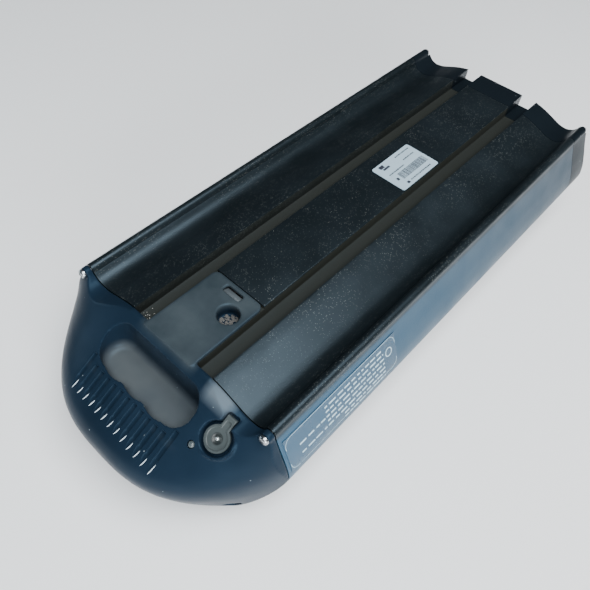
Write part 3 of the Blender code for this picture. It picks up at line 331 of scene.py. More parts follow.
def cylinder(name, radius, bottom, top, place, segments=48):
    form = bmesh.new()
    bmesh.ops.create_cone(form, cap_ends=True, segments=segments, radius1=radius, radius2=radius,
                          depth=top - bottom)
    bmesh.ops.translate(form, vec=(0, 0, (top + bottom) / 2), verts=form.verts)
    return object_from_bmesh(name, form, place)


def turned(name, profile, place, steps=48):
    form = bmesh.new()
    points = [form.verts.new((radius, 0.0, height)) for radius, height in profile]
    for start, end in zip(points, points[1:]):
        form.edges.new((start, end))
    item = object_from_bmesh(name, form)
    screw = item.modifiers.new("turn", "SCREW")
    screw.steps = screw.render_steps = steps
    screw.use_merge_vertices = True
    screw.merge_threshold = 0.00001
    apply_modifiers(item)
    form = bmesh.new()
    form.from_mesh(item.data)
    bmesh.ops.recalc_face_normals(form, faces=form.faces)
    form.to_mesh(item.data)
    form.free()
    item.data.transform(place)
    return item


def plate(name, outline, bottom, top, place=None):
    form = bmesh.new()
    face = form.faces.new([form.verts.new((point[0], point[1], bottom)) for point in outline])
    lifted = bmesh.ops.extrude_face_region(form, geom=[face])["geom"]
    upper = [item for item in lifted if isinstance(item, bmesh.types.BMVert)]
    bmesh.ops.translate(form, vec=(0, 0, top - bottom), verts=upper)
    bmesh.ops.recalc_face_normals(form, faces=form.faces)
    return object_from_bmesh(name, form, place)


def along_y(x, depth, y=0.0):
    """A frame at (x, y) and this depth whose +Z points to -Y."""
    return Matrix.Translation((x, y, RIM_HEIGHT - depth)) @ Matrix.Rotation(math.radians(90), 4, "X")


def port_frame():
    place = Matrix.Translation((PORT_X, SEAM_Y - PORT_Y, RIM_HEIGHT - PORT_DEPTH))
    return place @ Matrix.Rotation(PORT_TILT, 4, "X")


def plan_factor(x):
    """The dome's reach at x, as a share of its reach on the centre line."""
    return max(0.0, 1 - abs(x / DOME_HALF_WIDTH) ** DOME_POWER)


def lock_place():
    return Matrix.Translation((LOCK_X, SEAM_Y + LOCK_Y, 0))


NOSE_CURVE = smooth_curve(NOSE_POINTS, 8)


def nose_depth(reach):
    """Depth of the dome's top on the centre line, at this distance from the seam."""
    for start, end in zip(NOSE_CURVE, NOSE_CURVE[1:]):
        if start[0] <= reach <= end[0]:
            return start[1] + (end[1] - start[1]) * (reach - start[0]) / (end[0] - start[0])
    return 0.0


def led_frame():
    depth = nose_depth(LED_Y / plan_factor(LED_X))
    place = Matrix.Translation((LED_X, SEAM_Y - LED_Y, RIM_HEIGHT - depth))
    return place @ Matrix.Rotation(PORT_TILT, 4, "X")


def remesh(item, voxel, smoothing):
    """Even quads, then smoothing, which gives every edge a small moulded radius."""
    even = item.modifiers.new("even", "REMESH")
    even.mode = "VOXEL"
    even.voxel_size = voxel
    even.use_smooth_shade = True
    relax = item.modifiers.new("relax", "SMOOTH")
    relax.factor = 0.5
    relax.iterations = smoothing
    apply_modifiers(item)


# ---------------------------------------------------------------- material helpers
class Recipe:
    """A node material round one Principled shader, in object coordinates (metres)."""

    def __init__(self, name, colour, roughness, metallic=0.0):
        self.material = bpy.data.materials.new(name)
        self.material.use_nodes = True
        self.tree = self.material.node_tree
        self.shader = self.tree.nodes["Principled BSDF"]
        self.shader.inputs["Base Color"].default_value = (*colour, 1.0)
        self.shader.inputs["Roughness"].default_value = roughness
        self.shader.inputs["Metallic"].default_value = metallic
        self.place = self.tree.nodes.new("ShaderNodeTexCoord").outputs["Object"]

    def node(self, kind, settings=(), **inputs):
        made = self.tree.nodes.new(kind)
        for key, value in dict(settings).items():
            setattr(made, key, value)
        for key, value in inputs.items():
            self.feed(made.inputs[key.replace("_", " ")], value)
        return made

    def feed(self, socket, value):
        if isinstance(value, bpy.types.NodeSocket):
            self.tree.links.new(value, socket)
        else:
            socket.default_value = value

    def noise(self, scale, detail=3.0):
        return self.node("ShaderNodeTexNoise", Vector=self.place, Scale=scale, Detail=detail).outputs["Fac"]

    def band(self, value, low, high, out_low=0.0, out_high=1.0):
        made = self.node("ShaderNodeMapRange", Value=value, From_Min=low, From_Max=high, To_Min=out_low,
                         To_Max=out_high)
        made.clamp = True
        return made.outputs["Result"]

    def maths(self, operation, first, second=0.5):
        made = self.node("ShaderNodeMath", {"operation": operation})
        self.feed(made.inputs[0], first)
        self.feed(made.inputs[1], second)
        return made.outputs["Value"]

    def mix(self, share, first, second):
        made = self.node("ShaderNodeMix", {"data_type": "RGBA"})
        self.feed(made.inputs[0], share)
        for socket, value in ((made.inputs[6], first), (made.inputs[7], second)):
            self.feed(socket, value if isinstance(value, bpy.types.NodeSocket) else (*value, 1.0))
        return made.outputs[2]

    def specks(self, scale, size, density, seed=0.0):
        """Scattered round grains: 1 on a grain and 0 elsewhere. Density is the share of cells with one."""
        shifted = self.node("ShaderNodeVectorMath", {"operation": "ADD"})
        self.feed(shifted.inputs[0], self.place)
        shifted.inputs[1].default_value = (seed, seed * 0.7, seed * 0.3)
        cells = self.node("ShaderNodeTexVoronoi", Vector=shifted.outputs["Vector"], Scale=scale)
        pick = self.node("ShaderNodeSeparateColor", Color=cells.outputs["Color"])
        near = self.band(cells.outputs["Distance"], size, size * 0.55)
        chosen = self.maths("GREATER_THAN", pick.outputs[0], 1 - density)
        return self.maths("MULTIPLY", near, chosen)

    def part(self, axis):
        """The X, Y or Z of the place, in metres."""
        return self.node("ShaderNodeSeparateXYZ", Vector=self.place).outputs[axis]

    def sides(self):
        """1 on the outer side walls below the rim beads."""
        wide = self.band(self.maths("ABSOLUTE", self.part("X")), 0.0692, 0.0704)
        low = self.band(self.part("Z"), RIM_HEIGHT - 0.0035, RIM_HEIGHT - 0.0060)
        return self.maths("MULTIPLY", wide, low)

    def uneven(self, scale, low=0.0, high=1.0, detail=3.0):
        """Soft patches between two values."""
        return self.band(self.noise(scale, detail), 0.3, 0.7, low, high)

    def patches(self, scale, dark, light, detail=3.0):
        """Soft patches between two colours."""
        return self.mix(self.uneven(scale, detail=detail), dark, light)

    def painted_side_sheen(self, strength=1.0):
        """Painted sheen: steel blue that stands in for the blue reflection on the side walls, with painted
        shade deepening it towards the connector end.
        """
        near = tuple(strength * channel for channel in (0.016, 0.056, 0.100))
        far = tuple(strength * channel for channel in (0.006, 0.021, 0.037))
        return self.mix(self.band(self.part("Y"), SEAM_Y + 0.03, FAR_SEAM_Y), near, far)

    def inside(self, low, high, soft):
        """1 within a box given by two corners, fading over a distance."""
        parts = self.node("ShaderNodeSeparateXYZ", Vector=self.place)
        mask = None
        for index in range(3):
            for edge, sign in ((low[index], 1), (high[index], -1)):
                value = self.band(parts.outputs[index], edge - sign * soft, edge + sign * soft)
                mask = value if mask is None else self.maths("MULTIPLY", mask, value)
        return mask

    def tint(self, colour, level=0.5):
        self.shader.inputs["Specular Tint"].default_value = (*colour, 1.0)
        self.shader.inputs["Specular IOR Level"].default_value = level

    def colour(self, value):
        self.feed(self.shader.inputs["Base Color"], value)

    def roughness(self, value):
        self.feed(self.shader.inputs["Roughness"], value)

    def grain(self, scale, strength, distance=0.00005):
        """A fine bumpy texture."""
        height = self.noise(scale, 2.0)
        made = self.node("ShaderNodeBump", Height=height, Strength=strength, Distance=distance)
        self.feed(self.shader.inputs["Normal"], made.outputs["Normal"])


def powder_black():
    """Satin black powder coat on aluminium: dusty on top, brown-black in the grooves, with a painted blue
    sheen on the side walls.
    """
    recipe = Recipe("powder_black", (0.008, 0.011, 0.014), 0.4)
    patches = recipe.band(recipe.noise(22.0), 0.35, 0.65)
    base = recipe.mix(patches, (0.004, 0.006, 0.007), (0.007, 0.010, 0.012))
    coarse, fine = recipe.specks(520.0, 0.13, 0.05), recipe.specks(1500.0, 0.38, 0.22, 3.1)
    drifts = recipe.band(recipe.noise(34.0, 2.0), 0.38, 0.62, 0.25, 1.0)
    grains = recipe.maths("MULTIPLY", recipe.maths("MAXIMUM", coarse, fine), drifts)
    upper = recipe.band(recipe.part("Z"), RIM_HEIGHT - 0.0095, RIM_HEIGHT - 0.0040, 0.03, 1.0)
    groove = recipe.inside((-GROOVE_OUTER, SEAM_Y - 1, RIM_HEIGHT - 0.010),
                           (GROOVE_OUTER, FAR_SEAM_Y + 1, RIM_HEIGHT - 0.0008), 0.0001)
    open_top = recipe.maths("MULTIPLY", upper, recipe.maths("SUBTRACT", 1.0, groove))
    dust = recipe.maths("MULTIPLY", grains, open_top)
    base = recipe.mix(groove, base, (0.013, 0.012, 0.007))
    # Painted reflection: the side walls take a steel-blue colour for the sheen they catch, with painted
    # shade towards the connector end.
    base = recipe.mix(recipe.sides(), base, recipe.painted_side_sheen())
    recipe.colour(recipe.mix(dust, base, (0.12, 0.13, 0.125)))
    satin = recipe.uneven(60.0, 0.32, 0.42)
    recipe.roughness(recipe.maths("ADD", satin, recipe.maths("MULTIPLY", groove, 0.30)))
    recipe.tint((0.60, 0.82, 1.0), 0.42)
    recipe.grain(1500.0, 0.5, 0.00012)
    return recipe.material


def cap_plastic():
    """Blue-black moulded plastic, dusty on the tongue and the recess's floor, with a painted highlight on
    the corner by the port and painted shade on the connector cap.
    """
    recipe = Recipe("cap_plastic", (0.012, 0.024, 0.040), 0.42)
    base = recipe.patches(30.0, (0.0055, 0.0125, 0.0225), (0.0085, 0.018, 0.032))
    floor = recipe.inside((-RECESS_HALF_LENGTH - 0.001, SEAM_Y - RECESS_NEAR_Y - 0.003, -1.0),
                          (RECESS_HALF_LENGTH + 0.001, SEAM_Y - RECESS_FAR_Y, RIM_HEIGHT - 0.0222), 0.0032)
    dusty = recipe.patches(45.0, (0.054, 0.066, 0.076), (0.080, 0.092, 0.098))
    tongue = recipe.inside((-LAND_HALF - 0.001, SEAM_Y - 0.006, RIM_HEIGHT - 0.0012),
                           (LAND_HALF + 0.001, SEAM_Y + TONGUE_LENGTH + 0.001, 1.0), 0.0030)
    film = recipe.patches(55.0, (0.026, 0.036, 0.041), (0.054, 0.068, 0.075), 4.0)
    base = recipe.mix(tongue, recipe.mix(floor, base, dusty), film)
    # Painted shade: the connector cap is darkened for the light falling off towards the far end.
    painted_far_shade = recipe.band(recipe.part("Y"), FAR_SEAM_Y - 0.010, FAR_SEAM_Y - 0.006)
    base = recipe.mix(painted_far_shade, base, (0.006, 0.009, 0.012))
    # Painted highlight: a pale patch on the corner by the port stands in for the light caught by the facet
    # there.
    corner = recipe.inside((GROOVE_OUTER + 0.0015, SEAM_Y - 0.0080, RIM_HEIGHT - 0.0085),
                           (0.0450, SEAM_Y + 0.0010, RIM_HEIGHT + 0.0010), 0.0026)
    base = recipe.mix(corner, base, (0.088, 0.112, 0.134))
    recipe.colour(recipe.mix(recipe.specks(420.0, 0.16, 0.025), base, (0.22, 0.26, 0.28)))
    recipe.roughness(recipe.uneven(80.0, 0.28, 0.36))
    recipe.tint((0.40, 0.72, 1.0), 0.11)
    recipe.grain(2600.0, 0.30, 0.00006)
    return recipe.material


def side_film():
    """Glossy film, coloured with the same painted blue sheen and painted shade as the side wall under it."""
    recipe = Recipe("side_film", (0.02, 0.05, 0.09), 0.26)
    recipe.colour(recipe.painted_side_sheen(1.12))
    recipe.roughness(recipe.uneven(70.0, 0.22, 0.30))
    recipe.grain(900.0, 0.15)
    return recipe.material


def port_rubber():
    """Grey-green rubber, with painted shade darkening the cover's dimple."""
    recipe = Recipe("cover_rubber", (0.05, 0.06, 0.065), 0.40)
    centre = port_frame().translation
    distance = recipe.node("ShaderNodeVectorMath", {"operation": "DISTANCE"})
    recipe.feed(distance.inputs[0], recipe.place)
    distance.inputs[1].default_value = centre
    # Painted shade: the dimple is darkened for the shadow in its bowl.
    painted_bowl_shade = recipe.band(distance.outputs["Value"], 0.0033, 0.0026)
    base = recipe.patches(120.0, (0.040, 0.051, 0.053), (0.062, 0.075, 0.078))
    recipe.colour(recipe.mix(painted_bowl_shade, base, (0.014, 0.019, 0.020)))
    recipe.roughness(recipe.uneven(160.0, 0.34, 0.44, 2.0))
    recipe.grain(900.0, 0.15)
    return recipe.material


def simple(name, colour, roughness, metallic=0.0, grain=900.0, strength=0.15, contrast=0.25):
    """A plain material with a fine grain and some colour variation."""
    recipe = Recipe(name, colour, roughness, metallic)
    dark = tuple(channel * (1 - contrast) for channel in colour)
    light = tuple(min(1.0, channel * (1 + contrast)) for channel in colour)
    recipe.colour(recipe.patches(grain * 0.1, dark, light))
    rougher = min(1.0, roughness * 1.15)
    recipe.roughness(recipe.uneven(grain * 0.2, roughness * 0.85, rougher, 2.0))
    recipe.grain(grain, strength)
    return recipe.material


# (colour, roughness, metallic, grain, strength, contrast), as simple() takes them.
PLAIN_LOOKS = {
    "black_rubber": ((0.010, 0.011, 0.012), 0.75),
    "screw_steel": ((0.42, 0.44, 0.46), 0.28, 1.0),
    "nickel": ((0.70, 0.68, 0.64), 0.18, 1.0),
    "copper": ((0.72, 0.38, 0.22), 0.30, 1.0),
    "connector_black": ((0.013, 0.013, 0.014), 0.45),
    "led_lens": ((0.06, 0.075, 0.08), 0.08, 0.0, 900.0, 0.02),
    "cell_foil": ((0.70, 0.71, 0.73), 0.32, 0.8, 400.0, 0.4),
    "board_green": ((0.015, 0.12, 0.05), 0.35),
    "board_fibre": ((0.60, 0.53, 0.30), 0.55, 0.0, 1600.0, 0.3),
    "insulation": ((0.84, 0.81, 0.72), 0.75, 0.0, 1400.0, 0.3),
    "foam": ((0.07, 0.07, 0.075), 0.95, 0.0, 700.0, 0.8),
    "heatsink": ((0.68, 0.69, 0.70), 0.35, 1.0),
    "lead_red": ((0.50, 0.02, 0.02), 0.40),
    "lead_black": ((0.012, 0.012, 0.012), 0.40),
    "ribbon_grey": ((0.42, 0.43, 0.45), 0.50),
    "fuse_plastic": ((0.60, 0.26, 0.03), 0.15, 0.0, 900.0, 0.03),
    "label_white": ((0.38, 0.50, 0.58), 0.38, 0.0, 900.0, 0.05, 0.04),
    "print_dark": ((0.03, 0.035, 0.05), 0.45),
    "print_pale": ((0.38, 0.52, 0.60), 0.45, 0.0, 900.0, 0.15, 0.10),
    "grit": ((0.072, 0.070, 0.066), 0.9, 0.0, 500.0, 0.6, 0.6),
    "grit_pale": ((0.30, 0.30, 0.28), 0.8, 0.0, 500.0, 0.4, 0.4),
    "clip_plastic": ((0.080, 0.095, 0.105), 0.35),
    # Painted highlight: pale slivers at the grooves' tapering ends stand in for the glints there.
    "painted_edge_glint": ((0.58, 0.68, 0.74), 0.30, 0.0, 900.0, 0.05, 0.08),
    "pip_bright": ((0.60, 0.66, 0.66), 0.15, 0.8, 900.0, 0.02),
}
MATERIALS = {name: simple(name, *look) for name, look in PLAIN_LOOKS.items()}
MATERIALS.update(black_anodised=powder_black(), cap_plastic=cap_plastic(), cover_rubber=port_rubber(),
                 label_clear=side_film())


def dress_cad_nodes():
    for entry in frame["record"]["subparts"]:
        node = NODES[entry["node"]]
        node.data.materials.clear()
        node.data.materials.append(MATERIALS[entry["material_slot"]])


def finish_piece(item, material, body="pack", replaces=None, degrees=40):
    """Give a piece its material and its body, and hide the CAD node it stands for, if it stands for one."""
    item.data.materials.clear()
    item.data.materials.append(MATERIALS[material])
    if degrees is not None:
        shade_smooth(item, degrees)
    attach(item, body)
    if replaces:
        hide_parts(replaces)


# ---------------------------------------------------------------- sleeve
def tongue_room():
    depth = TONGUE_THICKNESS - TONGUE_PROUD
    low_y, high_y = SEAM_Y - 0.003, SEAM_Y + TONGUE_LENGTH + GAP
    return box("tongue_room", (2 * LAND_HALF + 0.001, high_y - low_y, 2 * depth),
               (0, (low_y + high_y) / 2, RIM_HEIGHT))


def rods(name, radius, y_low, y_high, places=SCREW_PLACES, segments=32):
    """A cylinder along Y at each place."""
    return [cylinder(name, radius, -y_high, -y_low, along_y(x, depth), segments) for x, depth in places]


def screw_holes(y_low, y_high):
    return merged("screw_holes", rods("screw_hole", SCREW_HOLE_RADIUS, y_low, y_high, segments=20))


def make_sleeve():
    sleeve = prism("sleeve", sleeve_outline(), SEAM_Y, FAR_SEAM_Y)
    cut(sleeve, prism("sleeve_bore", shrunk(crisp_outline(2), WALL), SEAM_Y - MARGIN, FAR_SEAM_Y + MARGIN))
    join(sleeve, *rods("channel", BOSS_RADIUS, SEAM_Y, FAR_SEAM_Y, LOWER_PLACES))
    cut(sleeve, screw_holes(SEAM_Y - MARGIN, FAR_SEAM_Y + MARGIN))
    cut(sleeve, tongue_room())
    cut(sleeve, cylinder("lock_room", LOCK_RADIUS + LOCK_CUP_WALL + FIT_GAP, RIM_HEIGHT - 0.012,
                         RIM_HEIGHT + MARGIN, lock_place()))
    finish_piece(sleeve, "black_anodised", replaces="housing_extrusion", degrees=25)


# ---------------------------------------------------------------- handle cap
def gasket_room(y_start, y_end):
    """The rebate in a cap's edge that leaves a thin lip round the gasket."""
    return prism("gasket_room", shrunk(crisp_outline(3), LIP_WIDTH), y_start, y_end)


def dome(name, inward, segments, y_seam):
    """The nose's form: level slices whose edges are superellipses, from the crown down to the foot."""
    section = [point for point in inset(NOSE_CURVE, inward) if point[0] > 0.0005]
    half_width = DOME_HALF_WIDTH - inward
    form = bmesh.new()
    rings = []
    for reach, depth in section:
        ring = []
        for step in range(segments, 0, -1):
            angle = 2 * math.pi * step / segments
            y = math.copysign(reach * (1 - abs(math.cos(angle)) ** DOME_POWER), math.sin(angle))
            ring.append(form.verts.new((half_width * math.cos(angle), y_seam + y, RIM_HEIGHT - depth)))
        rings.append(ring)
    bridge(form, rings)
    return object_from_bmesh(name, form)


def recess_outline(outward=0.0):
    """The finger recess in plan: a stadium whose grip side has three finger scallops."""
    middle_y = SEAM_Y - RECESS_MIDDLE_Y
    straight = RECESS_HALF_LENGTH - RECESS_RADIUS
    radius = RECESS_RADIUS + outward
    outline = []
    for side, first in ((1, -90), (-1, 90)):
        for step in range(25):
            angle = math.radians(first + 180 * step / 24)
            outline.append((side * straight + radius * math.cos(angle), middle_y + radius * math.sin(angle)))
    samples = 48
    for step in range(1, samples):
        part = step / samples
        bulge = SCALLOP_DEPTH * abs(math.sin(3 * math.pi * part))
        outline.append((-straight + 2 * straight * part, middle_y - radius - bulge))
    return outline


def recess_solid(outward=0.0):
    floor = RIM_HEIGHT - RECESS_FLOOR_DEPTH - outward
    pocket = plate("pocket", recess_outline(outward), floor, RIM_HEIGHT + 0.010)
    form = bmesh.new()
    form.from_mesh(pocket.data)
    rim = [edge for edge in form.edges if all(vert.co.z < floor + GAP for vert in edge.verts)]
    bmesh.ops.bevel(form, geom=rim, offset=RECESS_BEVEL + outward, segments=6, profile=0.5, affect="EDGES")
    form.to_mesh(pocket.data)
    form.free()
    return pocket


def rib_span(x):
    """Where the groove at x starts by the recess and ends down the nose, as distances from the seam."""
    past_straight = max(0.0, abs(x) - (RECESS_HALF_LENGTH - RECESS_RADIUS))
    far = RECESS_MIDDLE_Y + math.sqrt(RECESS_RADIUS ** 2 - past_straight ** 2) + RIB_MARGIN
    return far, RIB_NEAR_Y + RIB_SLANT * x


def rib_cutter(index):
    """One finger-grip groove: it starts by the recess and tapers to a point down the nose."""
    x = RIB_START_X + RIB_PITCH * index
    far, near = rib_span(x)
    form = bmesh.new()
    rings = []
    for part, wide, deep, roundness in smooth_curve(RIB_TAPER, 4):
        reach = near + (far - near) * part
        middle = Vector((x, SEAM_Y - reach, RIM_HEIGHT - nose_depth(reach / plan_factor(x))))
        ring = []
        for step in range(RIB_SIDES):
            angle = 2 * math.pi * step / RIB_SIDES
            across = math.copysign(abs(math.cos(angle)) ** roundness, math.cos(angle))
            down = math.copysign(abs(math.sin(angle)) ** roundness, math.sin(angle))
            section = Vector((RIB_WIDTH / 2 * min(wide, 1.0) * across, 0, RIB_DEPTH * min(deep, 1.0) * down))
            ring.append(form.verts.new(middle + section))
        rings.append(ring)
    bridge(form, rings)
    bmesh.ops.recalc_face_normals(form, faces=form.faces)
    return object_from_bmesh("rib", form)


def rib_edges():
    """Painted highlight: a thin pale strip on the +X side of each groove's tapering end, standing in for the
    glint there.
    """
    form = bmesh.new()
    taper = [point for point in smooth_curve(RIB_TAPER, 4) if 0.01 < point[0] < GLINT_SHARE]
    turns = [2 * math.pi * corner / GLINT_SIDES for corner in range(GLINT_SIDES)]
    for index in range(RIB_COUNT):
        x = RIB_START_X + RIB_PITCH * index
        far, near = rib_span(x)
        rings = []
        for step, (part, wide, _, _) in enumerate(taper):
            reach = near + (far - near) * part
            edge = x + RIB_WIDTH / 2 * wide
            middle = Vector((edge, SEAM_Y - reach, RIM_HEIGHT - nose_depth(reach / plan_factor(edge))))
            radius = GLINT_RADIUS * (0.15 + math.sin(math.pi * step / (len(taper) - 1)) ** 0.5)
            rings.append([form.verts.new(middle + radius * Vector((math.cos(turn), 0, math.sin(turn))))
                          for turn in turns])
        bridge(form, rings)
    bmesh.ops.recalc_face_normals(form, faces=form.faces)
    finish_piece(object_from_bmesh("rib_edges", form), "painted_edge_glint")


def port_cutters():
    pocket = cylinder("port_pocket", PORT_POCKET_RADIUS, PORT_FLOOR, 0.020, port_frame(), 64)
    notch_length = 0.0135
    notch_width = 2 * (COVER_TAB_HALF + 0.0006)
    notch = box("port_notch", (notch_width, notch_length, 0.020),
                (0, notch_length / 2, PORT_FLOOR + GAP + 0.010), port_frame())
    shaft = cylinder("jack_hole", JACK_HOLE_RADIUS, -0.030, PORT_FLOOR + MARGIN, port_frame())
    return pocket, notch, shaft


def cap_cavity():
    """Space inside the handle cap, with the pocket, port and screw bosses left standing in it."""
    outline = inner_outline(PLASTIC_WALL, GROOVE_DEPTH + PLASTIC_WALL)
    space = prism("cavity", outline, NOSE_Y - 0.005, SEAM_Y + 0.020)
    combine(space, dome("cavity_dome", PLASTIC_WALL + 0.0002, 64, SEAM_Y), "INTERSECT")
    join(space, prism("mouth", outline, SEAM_Y - SEAL_STEP - 0.002, SEAM_Y + 0.010))
    cut(space, recess_solid(PLASTIC_WALL - 0.0004))
    cut(space, cylinder("port_boss", PORT_POCKET_RADIUS + 0.002, PORT_FLOOR - 0.003, 0.020, port_frame()))
    cut(space, *rods("boss", COUNTERBORE_RADIUS + BOSS_WALL, NOSE_Y, SEAM_Y, LOWER_PLACES, 24))
    return space


def cap_spigot(name, y_start, y_end):
    """The lip that reaches into the sleeve."""
    ring = prism(name, inner_outline(WALL + FIT_GAP, GROOVE_DEPTH + WALL + 0.0005), y_start, y_end)
    bore = inner_outline(PLASTIC_WALL + WALL, GROOVE_DEPTH + WALL + PLASTIC_WALL)
    y_start, y_end = y_start - MARGIN, y_end + MARGIN
    cut(ring, prism("spigot_bore", bore, y_start, y_end))
    cut(ring, *rods("channel_room", BOSS_RADIUS + FIT_GAP, y_start, y_end, LOWER_PLACES, 24))
    return ring


def tongue_outline():
    half, radius = LAND_HALF, 0.004
    end_y = SEAM_Y + TONGUE_LENGTH
    outline = [(-half, SEAM_Y - SEAL_STEP - 0.002), (half, SEAM_Y - SEAL_STEP - 0.002)]
    for side, first in ((1, 0), (-1, 90)):
        for step in range(11):
            angle = math.radians(first + 9 * step)
            outline.append((side * (half - radius) + radius * math.cos(angle),
                            end_y - radius + radius * math.sin(angle)))
    return outline


def add_tongue(cap):
    join(cap, plate("tongue", tongue_outline(), TONGUE_TOP - TONGUE_THICKNESS + GAP, TONGUE_TOP))
    join(cap, cylinder("lock_cup", LOCK_RADIUS + LOCK_CUP_WALL, TONGUE_TOP - LOCK_DEPTH - 0.0014,
                       TONGUE_TOP - 0.0005, lock_place()))
    cut(cap, turned("lock_bore", [(0.0, TONGUE_TOP - LOCK_DEPTH), (LOCK_RADIUS, TONGUE_TOP - LOCK_DEPTH),
                                  (LOCK_RADIUS, TONGUE_TOP - 0.0006), (LOCK_RADIUS + 0.0006, TONGUE_TOP),
                                  (LOCK_RADIUS + 0.0006, TONGUE_TOP + MARGIN), (0.0, TONGUE_TOP + MARGIN)],
                    lock_place(), 64))
    cut(cap, box("clip_window", (*WINDOW_SIZE, 0.010), (0, SEAM_Y + WINDOW_Y, TONGUE_TOP)))


def make_handle_cap():
    """Outer shape first, remeshed for its small radii, then the crisp holes and the hollow."""
    edge_y = SEAM_Y - SEAL_STEP
    cap = prism("handle_cap_shell", sleeve_outline(with_groove=False), NOSE_Y - 0.010, SEAM_Y - GAP)
    combine(cap, dome("dome", 0.0, 144, SEAM_Y), "INTERSECT")
    seat_y = edge_y - HEAD_SEAT
    join(cap, *rods("bead_end", BEAD_RADIUS, seat_y, SEAM_Y - 0.0004, UPPER_PLACES, 48))
    join(cap, cylinder("port_collar", PORT_POCKET_RADIUS + 0.0014, PORT_FLOOR - 0.002, 0.0003,
                       port_frame(), 64))
    cut(cap, recess_solid(), *port_cutters())
    cut(cap, merged("counterbores", rods("counterbore", COUNTERBORE_RADIUS, NOSE_Y, seat_y)))
    add_tongue(cap)
    remesh(cap, CAP_VOXEL, 3)
    cut(cap, merged("ribs", [rib_cutter(index) for index in range(RIB_COUNT)]))
    cut(cap, cap_cavity(), gasket_room(edge_y, SEAM_Y + MARGIN))
    led_hole = cylinder("led_hole", LED_RADIUS + GAP, -0.012, 0.006, led_frame(), 24)
    cut(cap, merged("small_holes", [screw_holes(edge_y - 0.010, SEAM_Y + MARGIN), led_hole]))
    join(cap, cap_spigot("spigot", edge_y - 0.0015, SEAM_Y + SPIGOT_LENGTH))
    finish_piece(cap, "cap_plastic", replaces="handle_cap")
    rib_edges()


def make_tongue_clip():
    """Snap hook under the tongue's window, with its nose sloping towards the connector end."""
    reach = WINDOW_SIZE[1] / 2 - GAP
    half = WINDOW_SIZE[0] / 2 - GAP
    hook = [(-reach, 0.0066), (-reach, 0.0012), (-reach + 0.0008, 0.0007), (reach, 0.0024), (reach, 0.0066)]
    form = bmesh.new()
    bridge(form, [[form.verts.new((x, SEAM_Y + WINDOW_Y + offset, RIM_HEIGHT - depth))
                   for offset, depth in hook] for x in (-half, half)])
    bmesh.ops.recalc_face_normals(form, faces=form.faces)
    bmesh.ops.bevel(form, geom=form.edges[:], offset=0.0002, segments=2, profile=0.5, affect="EDGES")
    clip = object_from_bmesh("clip_hook", form)
    finish_piece(clip, "clip_plastic", replaces="tongue_clip")


def make_screw(name, length, place):
    """Pan head with a cross recess, and a pointed shank."""
    radius, head = SCREW_HEAD_RADIUS, SCREW_HEAD_HEIGHT
    profile = [(0.0, head), (radius * 0.45, head * 0.985)]
    for step in range(1, 8):
        angle = math.radians(90 * step / 7)
        profile.append((radius * (0.45 + 0.55 * math.sin(angle)), head * (0.35 + 0.635 * math.cos(angle))))
    profile += [(radius, 0.0), (SCREW_RADIUS, 0.0), (SCREW_RADIUS, 0.0015 - length), (0.0, -length)]
    screw = turned(name + "_steel", profile, Matrix(), 40)
    for turn in (0, 90):
        arm = box("cross", (0.0008, 0.0032, 0.0022), (0, 0, head), bevel=0.0003)
        arm.data.transform(Matrix.Rotation(math.radians(turn + 20), 4, "Z"))
        cut(screw, arm)
    screw.data.transform(place)
    finish_piece(screw, "screw_steel", replaces=name)


def make_cap_screws():
    head = SCREW_HEAD_HEIGHT
    for number, (x, depth) in enumerate(SCREW_PLACES, start=1):
        near_name, far_name = f"handle_cap_screw_{number}", f"connector_cap_screw_{number}"
        low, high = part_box(near_name)
        make_screw(near_name, high.y - low.y - head, along_y(x, depth, low.y + head))
        low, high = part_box(far_name)
        outwards = along_y(x, depth, high.y - head) @ Matrix.Rotation(math.pi, 4, "X")
        make_screw(far_name, high.y - low.y - head, outwards)


# ---------------------------------------------------------------- charge port
def cover_outline(outward=0.0, hinge_reach=COVER_HINGE_REACH):
    """Teardrop in the port's plane: a disc with a straight tab towards the hinge."""
    radius = COVER_RADIUS + outward
    tab = COVER_TAB_HALF + outward
    lift = math.acos(tab / radius)
    outline = [(tab, hinge_reach), (-tab, hinge_reach)]
    turn = math.pi + 2 * lift
    for step in range(61):
        angle = math.pi - lift + turn * step / 60
        outline.append((radius * math.cos(angle), radius * math.sin(angle)))
    return outline


def make_port_cover():
    """Rubber flap with a raised rim and a dimple, softened all over."""
    place = port_frame()
    cover = plate("port_flap", cover_outline(), -COVER_THICKNESS, 0.0)
    cut(cover, plate("rim_well", cover_outline(-0.0011, COVER_HINGE_REACH - 0.0016), -0.0006, 0.002))
    dimple = [(0.0, -0.0015), (0.0012, -0.0014), (0.0022, -0.0010), (0.0028, -0.0004), (0.0030, 0.001),
              (0.0, 0.001)]
    cut(cover, turned("dimple", dimple, Matrix(), 48))
    hinge = Matrix.Translation((0, COVER_HINGE_REACH, -COVER_THICKNESS / 2))
    hinge = hinge @ Matrix.Rotation(math.pi / 2, 4, "Y")
    join(cover, cylinder("barrel", BARREL_RADIUS, -COVER_TAB_HALF, COVER_TAB_HALF, hinge, 24))
    join(cover, cylinder("stub", 0.0023, -COVER_THICKNESS - 0.0010, -COVER_THICKNESS + 0.0003, Matrix(), 32))
    remesh(cover, COVER_VOXEL, 3)
    cover.data.transform(place)
    finish_piece(cover, "cover_rubber", "port_cover", "charge_port_cover")
    form = bmesh.new()
    bmesh.ops.create_uvsphere(form, u_segments=32, v_segments=16, radius=PIP_RADIUS)
    bmesh.ops.translate(form, vec=(0, 0, -0.0011), verts=form.verts)
    finish_piece(object_from_bmesh("port_pip", form, place), "pip_bright", "port_cover")


def make_led_lens():
    profile = [(0.0, 0.0005), (0.0006, 0.00043), (0.0011, 0.0002), (0.0015, -0.0002), (LED_RADIUS, -0.0006),
               (LED_RADIUS, -0.0070), (0.0, -0.0070)]
    finish_piece(turned("led_dome", profile, led_frame(), 32), "led_lens", replaces="charge_led_lens")


